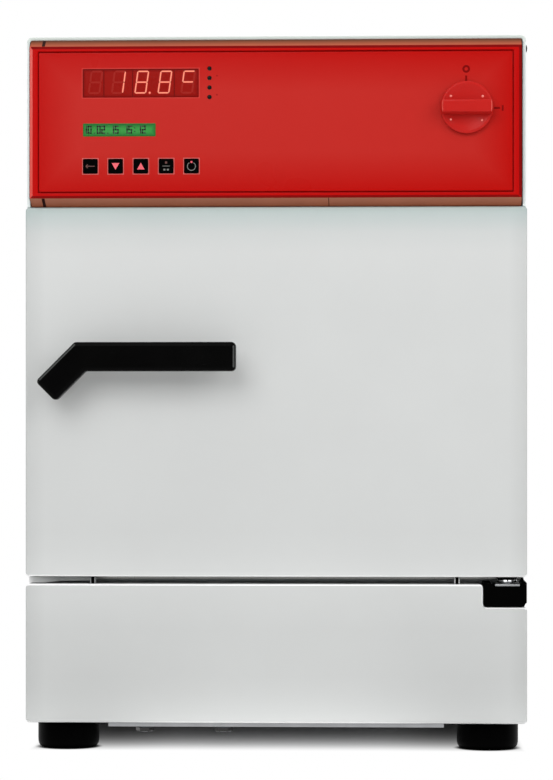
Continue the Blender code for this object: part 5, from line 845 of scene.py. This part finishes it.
def frameOutlines(x0, x1, z0, z1, line):
    # four strips just inside a rectangle
    return [boxOutline(x0, x1, z1 - line, z1), boxOutline(x0, x1, z0, z0 + line),
            boxOutline(x0, x0 + line, z0 + line, z1 - line), boxOutline(x1 - line, x1, z0 + line, z1 - line)]


def arcShape(x, z, outerRadius, innerRadius, start, end, deep, thick=0.03):
    # a flat section carried round part of a circle
    a = np.radians(np.linspace(start, end, 48))[:, None]
    radius = np.array([outerRadius, innerRadius, innerRadius, outerRadius])
    depth = np.array([deep - thick, deep - thick, deep, deep])
    return surface(place(x + radius * np.cos(a), depth, z + radius * np.sin(a)))


def strokeOutline(a, b, width, pointed=0.5):
    # a straight stroke from a to b with its ends tapered like a display segment's
    a, b = np.array(a, float), np.array(b, float)
    way = (b - a) / np.linalg.norm(b - a)
    side = np.array([-way[1], way[0]]) * width / 2
    tip = way * width * pointed
    return [a, a + tip - side, b - tip - side, b, b - tip + side, a + tip + side]


segmentsOf = {"0": "abcdef", "1": "bc", "2": "abged", "5": "afgcd", "8": "abcdefg", "c": "afg", " ": ""}
segmentEnds = {"a": ((0, 2), (1, 2)), "b": ((1, 1), (1, 2)), "c": ((1, 0), (1, 1)), "d": ((0, 0), (1, 0)),
               "e": ((0, 0), (0, 1)), "f": ((0, 1), (0, 2)), "g": ((0, 1), (1, 1))}


def digitSegments(x, z, width, height, stroke, slant=0.0, pointed=0.5):
    # the seven strokes of one digit whose lower left corner is (x, z), leaning by the slant;
    # pointed strokes keep a small gap, blunt ones run into each other at the corners
    gap = stroke * (0.12 if pointed else -0.5)
    strokes = {}
    for name, ends in segmentEnds.items():
        a, b = (np.array([x + stroke / 2 + u * (width - stroke), z + stroke / 2 + v * (height - stroke) / 2])
                for u, v in ends)
        way = (b - a) / np.linalg.norm(b - a)
        outline = strokeOutline(a + way * gap, b - way * gap, stroke, pointed)
        strokes[name] = [(u + slant * (v - z), v) for u, v in outline]
    return strokes


display = {"left": -161.4, "pitch": 19.95, "low": 567.1, "width": 10.8, "height": 20.1, "stroke": 1.6,
           "core": 0.75, "slant": 0.138, "shown": " 188c", "point": (-107.9, 568.0), "pointRadius": 1.15,
           "pointCore": 0.6, "deep": -12.12, "modules": (-147.4, -122.6, -86.7)}
low, width, height = display["low"], display["width"], display["height"]
thinner = (display["stroke"] - display["core"]) / 2
lit, core, dark = [], [], []
for i, sign in enumerate(display["shown"]):
    x = display["left"] + i * display["pitch"]
    wide = digitSegments(x, low, width, height, display["stroke"], display["slant"])
    fine = digitSegments(x + thinner * 1.1, low + thinner, width - 2 * thinner, height - 2 * thinner,
                         display["core"], display["slant"])
    for name in wide:
        (lit if name in segmentsOf[sign] else dark).append(wide[name])
        if name in segmentsOf[sign]:
            core.append(fine[name])
lit.append(display["point"] + quarter(display["pointRadius"], 0, 360, 20)[:-1])
core.append(display["point"] + quarter(display["pointCore"], 0, 360, 20)[:-1])
makePiece("litDigits", flatShape(lit, display["deep"], 0.04), "litRim", "cabinet")
makePiece("litCores", flatShape(core, display["deep"] - 0.04), "litSegment", "cabinet")
makePiece("unlitDigits", flatShape(dark, display["deep"], 0.02), "darkSegment", "cabinet")

textLine = {"left": -165.2, "low": 532.9, "width": 3.4, "height": 6.9, "stroke": 1.1, "pitch": 3.88,
            "shown": "10.02.15 15:12", "dots": {".": (0.0,), ":": (1.4, 4.4)}, "dot": 1.0, "deep": -12.12}
small = []
for i, sign in enumerate(textLine["shown"]):
    x, low = textLine["left"] + i * textLine["pitch"], textLine["low"]
    if sign in textLine["dots"]:
        middle, size = x + textLine["width"] / 2, textLine["dot"]
        small += [boxOutline(middle - size / 2, middle + size / 2, low + up, low + up + size)
                  for up in textLine["dots"][sign]]
    else:
        strokes = digitSegments(x, low, textLine["width"], textLine["height"], textLine["stroke"],
                                pointed=0.0)
        small += [strokes[name] for name in segmentsOf[sign]]
makePiece("textDigits", flatShape(small, textLine["deep"]), "liquidCrystal", "cabinet")

shade = {"inset": 0.15, "line": 0.9, "joint": 0.45, "rimReach": 1.0, "rimLine": 0.7}
x0, x1, z0, z1 = windows["display"]
x0, x1, z0, z1 = x0 + shade["inset"], x1 - shade["inset"], z0 + shade["inset"], z1 - shade["inset"]
top = z1 - shade["line"]
# painted shadow of the window's recess along its top and left edges, and dark joints between the digit
# modules
shades = [boxOutline(x0, x1, top, z1), boxOutline(x0, x0 + shade["line"], z0, top)]
shades += [boxOutline(x - shade["joint"], x + shade["joint"], z0, top) for x in display["modules"]]
reach = shade["rimReach"]
rims = frameOutlines(x0 - reach, x1 + reach, z0 - reach, z1 + reach, shade["rimLine"])
makePiece("lensShadeAndJointStrips", flatShape(shades, display["deep"], 0.01), "lensPaintedShadeAndJoint", "cabinet")
makePiece("windowRims", flatShape(rims, panel["front"], 0.02), "rimPrint", "cabinet")

keys = {"first": -159.1, "pitch": 21.8, "z": 504.9, "half": 6.35, "corner": 1.4, "front": -12.8,
        "collar": 7.75, "collarDeep": (3.6, 5.1), "stem": 2.4, "stemDeep": 12.0, "frameReach": 0.75,
        "frameLine": 0.6}


def keyShape(k, x):
    # square cap with a rounded rim and a shallow dish, its collar behind the panel and its stem
    half, z = k["half"], k["z"]
    dish = [(half - 0.6, 0.25), (half * 0.7, 0.2), (half * 0.4, 0.08)]
    rim = [(0.9, 0.0), (0.4, 0.05), (0.12, 0.22), (0.0, 0.5), (0.0, k["collarDeep"][0])]
    steps = [(half - inset, max(0.3, k["corner"] - inset) if inset < 1 else 0.5, deep)
             for inset, deep in dish + rim]
    steps += [(k["collar"], 0.5, deep) for deep in k["collarDeep"]]
    steps += [(k["stem"], k["stem"] - 0.1, deep) for deep in (k["collarDeep"][1], k["stemDeep"])]
    return frameSurface([(x - reach, x + reach, z - reach, z + reach, corner, k["front"] + deep)
                         for reach, corner, deep in steps])


def keySigns(number, x, z):
    # generic signs: a way back, down, up, a fraction-like row of marks, a ring open at its top
    deep, thick = keys["front"] + 0.06, 0.08
    if number == 1:
        arrow = [strokeOutline((x - 3.6, z), (x + 3.8, z), 0.7, 0.0)]
        arrow += [strokeOutline((x - 3.9, z), (x - 2.2, z + side * 1.5), 0.7, 0.0) for side in (1, -1)]
        return [(flatShape(arrow, deep, thick), "dullPrint")]
    if number == 2:
        down = [(x - 3.3, z + 2.7), (x, z - 3.1), (x + 3.3, z + 2.7)]
        return [(flatShape([down], deep, thick), "pinkPrint")]
    if number == 3:
        up = [(x - 3.3, z - 2.9), (x + 3.3, z - 2.9), (x, z + 2.9)]
        return [(flatShape([up], deep, thick), "pinkPrint")]
    if number == 4:
        marks = [boxOutline(x - 3.3, x + 3.3, z - 0.22, z + 0.22)]
        marks += [boxOutline(x + left, x + left + 1.6, z - 3.8, z - 2.4) for left in (-2.3, 0.7)]
        return [(flatShape(marks, deep, thick), "greyPrint"),
                (flatShape([boxOutline(x - 0.9, x + 0.9, z + 2.1, z + 3.9)], deep, thick), "dullPrint")]
    return [(arcShape(x, z - 0.3, 3.8, 3.2, 120, 420, deep, thick), "greyPrint"),
            (flatShape([boxOutline(x - 0.8, x + 0.8, z + 2.6, z + 4.2)], deep, thick), "pinkPrint")]


keyFrames = []
for number in (1, 2, 3, 4, 5):
    x, z = keys["first"] + (number - 1) * keys["pitch"], keys["z"]
    body, reach = f"key_{number}_body", keys["half"] + keys["frameReach"]
    makePiece(f"key{number}", keyShape(keys, x), "blackPlastic", body, f"key_{number}", 40)
    for mark, (shape, finishName) in zip("ab", keySigns(number, x, z)):
        makePiece(f"keySign{number}{mark}", shape, finishName, body)
    keyFrames += frameOutlines(x - reach, x + reach, z - reach, z + reach, keys["frameLine"])
makePiece("keyFrames", flatShape(keyFrames, panel["front"]), "palePrint", "cabinet")

lamps = {"x": -56.4, "z": 564.1, "pitch": 8.2, "count": 4, "radius": 1.9, "dome": 0.7, "marked": (0, 2)}
radius = lamps["radius"]
row = [(0, -12.75)]
row += [(radius * math.sin(t), -12.05 - lamps["dome"] * math.cos(t)) for t in np.linspace(0.2, 1.57, 7)]
row += [(radius, -11.9), (0, -11.9)]
lampHeights = [lamps["z"] + i * lamps["pitch"] for i in range(lamps["count"])]
domes = [lathe(row, "y", (lamps["x"], 0, z), 24) for z in lampHeights]
ticks = [boxOutline(lamps["x"] + 5.8, lamps["x"] + 7.0, lampHeights[i] + 1.4, lampHeights[i] + 2.4)
         for i in lamps["marked"]]
makePiece("lampDomes", joinParts(domes), "lampBlack", "cabinet", sharp=50)
makePiece("lampTicks", flatShape(ticks, panel["front"]), "darkPrintAndPaintedShade", "cabinet")

knob = {"x": 164.2, "z": 554.1, "radius": 22.5, "back": -12.5, "face": -17.6, "front": -29.4, "grip": 5.6,
        "gripEdge": 1.3, "stem": 4.0, "stemBack": 18.8, "stud": 1.55,
        "studs": ((-13.7, 9.6), (13.7, 9.3), (-13.8, -10.6), (13.2, -11.3))}


def knobDisc(k):
    # dished disc with a raised rim, on its stem
    radius, face, back = k["radius"], k["face"], k["back"]
    row = [(0, face + 1.6), (8, face + 1.55), (14, face + 1.3), (17.5, face + 0.7), (19.6, face + 0.1),
           (20.4, face), (21.2, face + 0.05), (22.0, face + 0.4), (22.4, face + 1.0), (radius, face + 1.8),
           (radius, back - 0.5), (22.1, back), (k["stem"], back), (k["stem"], k["stemBack"]),
           (0, k["stemBack"])]
    return lathe(row, "y", (k["x"], 0, k["z"]), 96)


def knobGrip(k):
    # bar across the disc: its outline, with ends on the disc's circle, is carried over a rounded rim
    reach, edge = k["radius"] - 0.6, k["gripEdge"]
    end = math.asin(k["grip"] / reach)
    arc = [(reach * math.cos(t), reach * math.sin(t)) for t in np.linspace(-end, end, 9)]
    path = np.array(arc + [(-u, v) for u, v in reversed(arc)])
    bend = np.linspace(0, np.pi / 2, 6)
    inset = np.concatenate([[edge + 0.8, edge + 0.3], (edge * (1 - np.cos(bend)) + 0.3)[::-1], [-0.35, -0.9]])
    deep = np.concatenate([[k["front"], k["front"]], (k["front"] + edge * (1 - np.sin(bend)))[::-1],
                           [k["face"] + 1.2, k["face"] + 1.9]])
    scale = np.stack([1 - inset / reach, 1 - inset / k["grip"]], axis=1)
    flat = path[None] * scale[:, None, :]
    return surface(place(flat[..., 0] + k["x"], deep[:, None], flat[..., 1] + k["z"]))


knobPiece = makePiece("switchKnob", joinParts([knobDisc(knob), knobGrip(knob)]), "knobPlastic",
                      "main_switch_knob", "switch_knob", 40)
normals, centres, deep = facesOf(knobPiece)
# painted highlight: the front-facing ends of the grip are pale red
paintFaces(knobPiece, {"bevelPlastic": (deep < knob["face"] - 8.0) & (np.abs(normals[:, 0]) > 0.4)})

# four small pale domes on the knob's dish: painted glints
face, radius = knob["face"], knob["stud"]
row = [(0, face + 0.4)]
row += [(radius * math.sin(t), face + radius + 0.4 - radius * math.cos(t)) for t in np.linspace(0.2, 1.4, 7)]
row += [(0, face + 2.2)]
studs = [lathe(row, "y", (knob["x"] + u, 0, knob["z"] + v), 20) for u, v in knob["studs"]]
makePiece("knobGlintDomes", joinParts(studs), "pinkPaintedGlint", "main_switch_knob", sharp=50)

switchPrint = {"x": 163.8, "z": 553.7, "line": 0.85, "bar": (576.8, 581.7), "ring": 587.3, "outer": 3.3,
               "inner": 1.5, "dash": (187.6, 192.7), "stroke": (194.3, 195.8), "half": 2.4}
x, z, line, tall = (switchPrint[key] for key in ("x", "z", "line", "half"))
marks = flatShape([boxOutline(x - line, x + line, *switchPrint["bar"]),
                   boxOutline(*switchPrint["dash"], z - line, z + line),
                   boxOutline(*switchPrint["stroke"], z - tall, z + tall)], panel["front"])
ring = arcShape(x, switchPrint["ring"], switchPrint["outer"], switchPrint["inner"], 0, 360, panel["front"])
makePiece("switchMarks", joinParts([marks, ring]), "darkPrintAndPaintedShade", "cabinet")

seams = {"slopes": ((46.0, 0.6, "low"), (-200.0, 2.6, "low"), (-199.7, 2.6, "top")), "gap": (212.0, 212.4),
         "gapHeight": (472.0, 613.0)}


def slopeAt(share, which):
    # (deep, z) on the housing's upper or lower slope, 0 at its outer edge and 1 at the face
    deep = head[which + "Deep"]
    climb = share * head[which + "Height"]
    height = head["high"] - climb if which == "top" else head["low"] + climb
    return deep + share * (head["front"] - deep), height


parts = []
for middle, width, which in seams["slopes"]:  # joint lines lie on the slopes
    up = 1 if which == "top" else -1
    ring = [(slopeAt(s, which)[0] - out, slopeAt(s, which)[1] + up * out)
            for s, out in ((0.02, 0.05), (0.97, 0.05), (0.97, -0.4), (0.02, -0.4))]
    rows = np.array([[(u, d, v) for d, v in ring] for u in (middle - width / 2, middle + width / 2)])
    parts.append(surface(place(rows[..., 0], rows[..., 1], rows[..., 2])))
# painted shade: the dark strip stands for the shadow in the gap between housing and casing
for side in (-1, 1):  # dark strip that fills the gap between housing and casing
    x0, x1 = sorted(side * x for x in seams["gap"])
    parts.append(plate(boxOutline(x0, x1, *seams["gapHeight"]), 0.15, 1.0, 9.0, 0.1, 0.05))
makePiece("headSeams", joinParts(parts), "seamShadow", "cabinet")
print("control head made")


# Screws on the rear cover and the front frame

screws = {"radius": 3.4, "height": 1.7, "rearDeep": 516.0, "frameDeep": 44.3}


def screwHeads(places, deep, facing):
    # pan heads: a low dome with a round recess pressed in; facing is 1 to the rear, -1 to the front
    radius, height = screws["radius"], screws["height"]
    dome = [(0, height * 0.55), (0.9, height * 0.6), (1.0, height)]
    dome += [(radius * math.sin(t), height * math.cos(t)) for t in np.linspace(0.45, 1.5, 6)]
    dome += [(radius, -0.2), (0, -0.2)]
    row = [(r, deep + facing * along) for r, along in dome]
    return joinParts([lathe(row, "y", (x, 0, z), 16) for x, z in places])


rearPlaces = [(side * 207.0, z) for side in (-1, 1) for z in (40.0, 175.0, 320.0, 465.0, 600.0)]
rearPlaces += [(-70.0, 609.0), (70.0, 609.0)]
framePlaces = [(-205.0, 180.0), (-205.0, 440.0), (205.0, 440.0)]
makePiece("rearScrews", screwHeads(rearPlaces, screws["rearDeep"], 1), "zincSteel", "cabinet",
          sharp=40)
makePiece("frameScrews", screwHeads(framePlaces, screws["frameDeep"], -1), "zincSteel", "cabinet",
          sharp=40)
print("screws made")


# Floor, light and camera

# half the floor's size in metres
studio = {"floorHalf": 12.0, "floorGrey": "F0F0F0", "worldLight": 0.52, "frontDark": 0.04}
fade = {"deep": (0.0, 516.0), "start": 10.0, "reach": 55.0, "power": 1.2, "half": 216.5, "side": 12.0,
        "foot": 24.0, "shade": 7.0, "dim": "5E5E5E", "dimStart": 60.0, "dimEnd": 130.0}


def stageMaterial(name):
    # white floor that darkens under the body: white share = exp(-((inside - start) / reach) ** power),
    # inside being the distance in from the footprint's front or rear; all white beside the body, none
    # close to each foot; the grey under the white turns dimmer towards the body's middle, a painted shadow
    material = bpy.data.materials.new(name)
    material.use_nodes = True
    tree = material.node_tree
    shader = tree.nodes["Principled BSDF"]
    shader.inputs["Roughness"].default_value = 0.9
    shader.inputs["Specular IOR Level"].default_value = 0.1
    spot = addNode(tree, "ShaderNodeTexCoord").outputs["Object"]
    start, end = fade["start"] * mm, (fade["start"] + fade["reach"]) * mm
    past = addNode(tree, "ShaderNodeMapRange", {"From Min": start, "From Max": end, "To Max": 1.0},
                   {"Value": insideOf(tree, spot, (("Y", *fade["deep"]),))}, clamp=False)
    past = addNode(tree, "ShaderNodeMath", {1: 0.0}, {0: past.outputs["Result"]}, operation="MAXIMUM")
    past = addNode(tree, "ShaderNodeMath", {1: fade["power"]}, {0: past.outputs[0]}, operation="POWER")
    past = addNode(tree, "ShaderNodeMath", {1: -1.0}, {0: past.outputs[0]}, operation="MULTIPLY")
    white = addNode(tree, "ShaderNodeMath", links={0: past.outputs[0]}, operation="EXPONENT")
    across = insideOf(tree, spot, (("X", -fade["half"], fade["half"]),))
    beside = addNode(tree, "ShaderNodeMapRange",
                     {"From Max": fade["side"] * mm, "To Min": 1.0, "To Max": 0.0},
                     {"Value": across}, interpolation_type="SMOOTHSTEP").outputs["Result"]
    white = addNode(tree, "ShaderNodeMath", links={0: white.outputs[0], 1: beside}, operation="MAXIMUM")
    near, far = fade["foot"] * mm, (fade["foot"] + fade["shade"]) * mm
    for side in (-1, 1):
        for deep in foot["deep"]:
            away = addNode(tree, "ShaderNodeVectorMath", {1: place(side * foot["x"], deep, 0)}, {0: spot},
                           operation="DISTANCE")
            clear = addNode(tree, "ShaderNodeMapRange", {"From Min": near, "From Max": far},
                            {"Value": away.outputs["Value"]}, interpolation_type="SMOOTHSTEP")
            white = addNode(tree, "ShaderNodeMath", links={0: white.outputs[0], 1: clear.outputs["Result"]},
                            operation="MULTIPLY")
    # painted shadow: the floor's grey turns to the dim grey towards the body's middle
    middle = addNode(tree, "ShaderNodeMapRange",
                     {"From Min": fade["dimStart"] * mm, "From Max": fade["dimEnd"] * mm},
                     {"Value": across}, interpolation_type="SMOOTHSTEP")
    pale = addNode(tree, "ShaderNodeMath", links={0: middle.outputs["Result"], 1: beside},
                   operation="MAXIMUM")
    grey = addNode(tree, "ShaderNodeMix", {6: linear(fade["dim"]), 7: linear(studio["floorGrey"])},
                   {0: pale.outputs[0]}, data_type="RGBA")
    tree.links.new(grey.outputs[2], shader.inputs["Base Color"])
    ray = addNode(tree, "ShaderNodeLightPath").outputs
    seen = addNode(tree, "ShaderNodeMath", links={0: ray["Is Camera Ray"], 1: ray["Is Glossy Ray"]},
                   operation="MAXIMUM")
    seen = addNode(tree, "ShaderNodeMath", links={0: seen.outputs[0], 1: ray["Is Transmission Ray"]},
                   operation="MAXIMUM")
    amount = addNode(tree, "ShaderNodeMath", links={0: white.outputs[0], 1: seen.outputs[0]},
                     operation="MULTIPLY")
    glow = addNode(tree, "ShaderNodeEmission", {"Color": (1, 1, 1, 1), "Strength": 1.0})
    mixed = addNode(tree, "ShaderNodeMixShader",
                    links={0: amount.outputs[0], 1: shader.outputs[0], 2: glow.outputs[0]})
    tree.links.new(mixed.outputs[0], tree.nodes["Material Output"].inputs["Surface"])
    return material


def link(thing):
    bpy.context.scene.collection.objects.link(thing)
    return thing


size = studio["floorHalf"]
mesh = bpy.data.meshes.new("studioFloor")
mesh.from_pydata([(-size, -size, 0), (size, -size, 0), (size, size, 0), (-size, size, 0)], [], [(0, 1, 2, 3)])
mesh.materials.append(stageMaterial("studioFloor"))
link(bpy.data.objects.new("studioFloor", mesh))

# white to the camera and through glass, softer as light, nearly black to reflections from the front
world = bpy.data.worlds.new("studio")
world.use_nodes = True
bpy.context.scene.world = world
tree = world.node_tree
ray = addNode(tree, "ShaderNodeLightPath").outputs
way = addNode(tree, "ShaderNodeTexCoord")
parts = addNode(tree, "ShaderNodeSeparateXYZ", links={"Vector": way.outputs["Generated"]})
behind = addNode(tree, "ShaderNodeMapRange",
                 {"From Min": -0.35, "From Max": 0.25, "To Min": studio["frontDark"], "To Max": 1.0},
                 {"Value": parts.outputs["Y"]}, interpolation_type="SMOOTHSTEP")
soft = addNode(tree, "ShaderNodeMix", {"A": studio["worldLight"]},
               {"Factor": ray["Is Glossy Ray"], "B": behind.outputs["Result"]}, data_type="FLOAT")
seen = addNode(tree, "ShaderNodeMath", links={0: ray["Is Camera Ray"], 1: ray["Is Transmission Ray"]},
               operation="MAXIMUM")
strength = addNode(tree, "ShaderNodeMix", {"B": 1.0}, {"Factor": seen.outputs[0], "A": soft.outputs[0]},
                   data_type="FLOAT")
background = tree.nodes["Background"]
background.inputs["Color"].default_value = (1, 1, 1, 1)
tree.links.new(strength.outputs[0], background.inputs["Strength"])

# metres and watts; each lamp looks at the aim
lampSet = {"keyLight": {"from": (-0.9, -3.0, 1.8), "size": (2.0, 1.8), "power": 40.0},
           "fillLight": {"from": (1.9, -2.4, 1.5), "size": (1.8, 1.8), "power": 25.0},
           "topLight": {"from": (0.0, -0.2, 2.4), "size": (1.6, 1.2), "power": 13.5}}
lampAim = (0.0, -0.1, 0.3)
for name, lamp in lampSet.items():
    light = bpy.data.lights.new(name, "AREA")
    light.shape = "RECTANGLE"
    light.size, light.size_y = lamp["size"]
    light.energy = lamp["power"]
    holder = link(bpy.data.objects.new(name, light))
    aim = np.array(lampAim) - lamp["from"]
    holder.location = lamp["from"]
    holder.rotation_euler = (math.atan2(math.hypot(aim[0], aim[1]), -aim[2]), 0.0,
                             math.atan2(aim[1], aim[0]) - math.pi / 2)

# metres from the door's face, degrees to the right, millimetres of lens
view = {"distance": 2.597, "yaw": 2.15, "height": 0.2729, "lens": 138.96, "shiftX": 0.00115, "shiftY": 0.0589}
camera = bpy.data.cameras.new("camera")
camera.lens = view["lens"]
camera.sensor_width = 36.0
camera.sensor_fit = "AUTO"
camera.shift_x = view["shiftX"]
camera.shift_y = view["shiftY"]
camera.clip_end = 100.0
eye = link(bpy.data.objects.new("camera", camera))
yaw = math.radians(view["yaw"])
eye.location = (view["distance"] * math.sin(yaw), doorFace - view["distance"] * math.cos(yaw), view["height"])
eye.rotation_euler = (math.pi / 2, 0.0, yaw)
bpy.context.scene.camera = eye
bpy.context.scene.view_settings.view_transform = "Standard"
print("studio made")
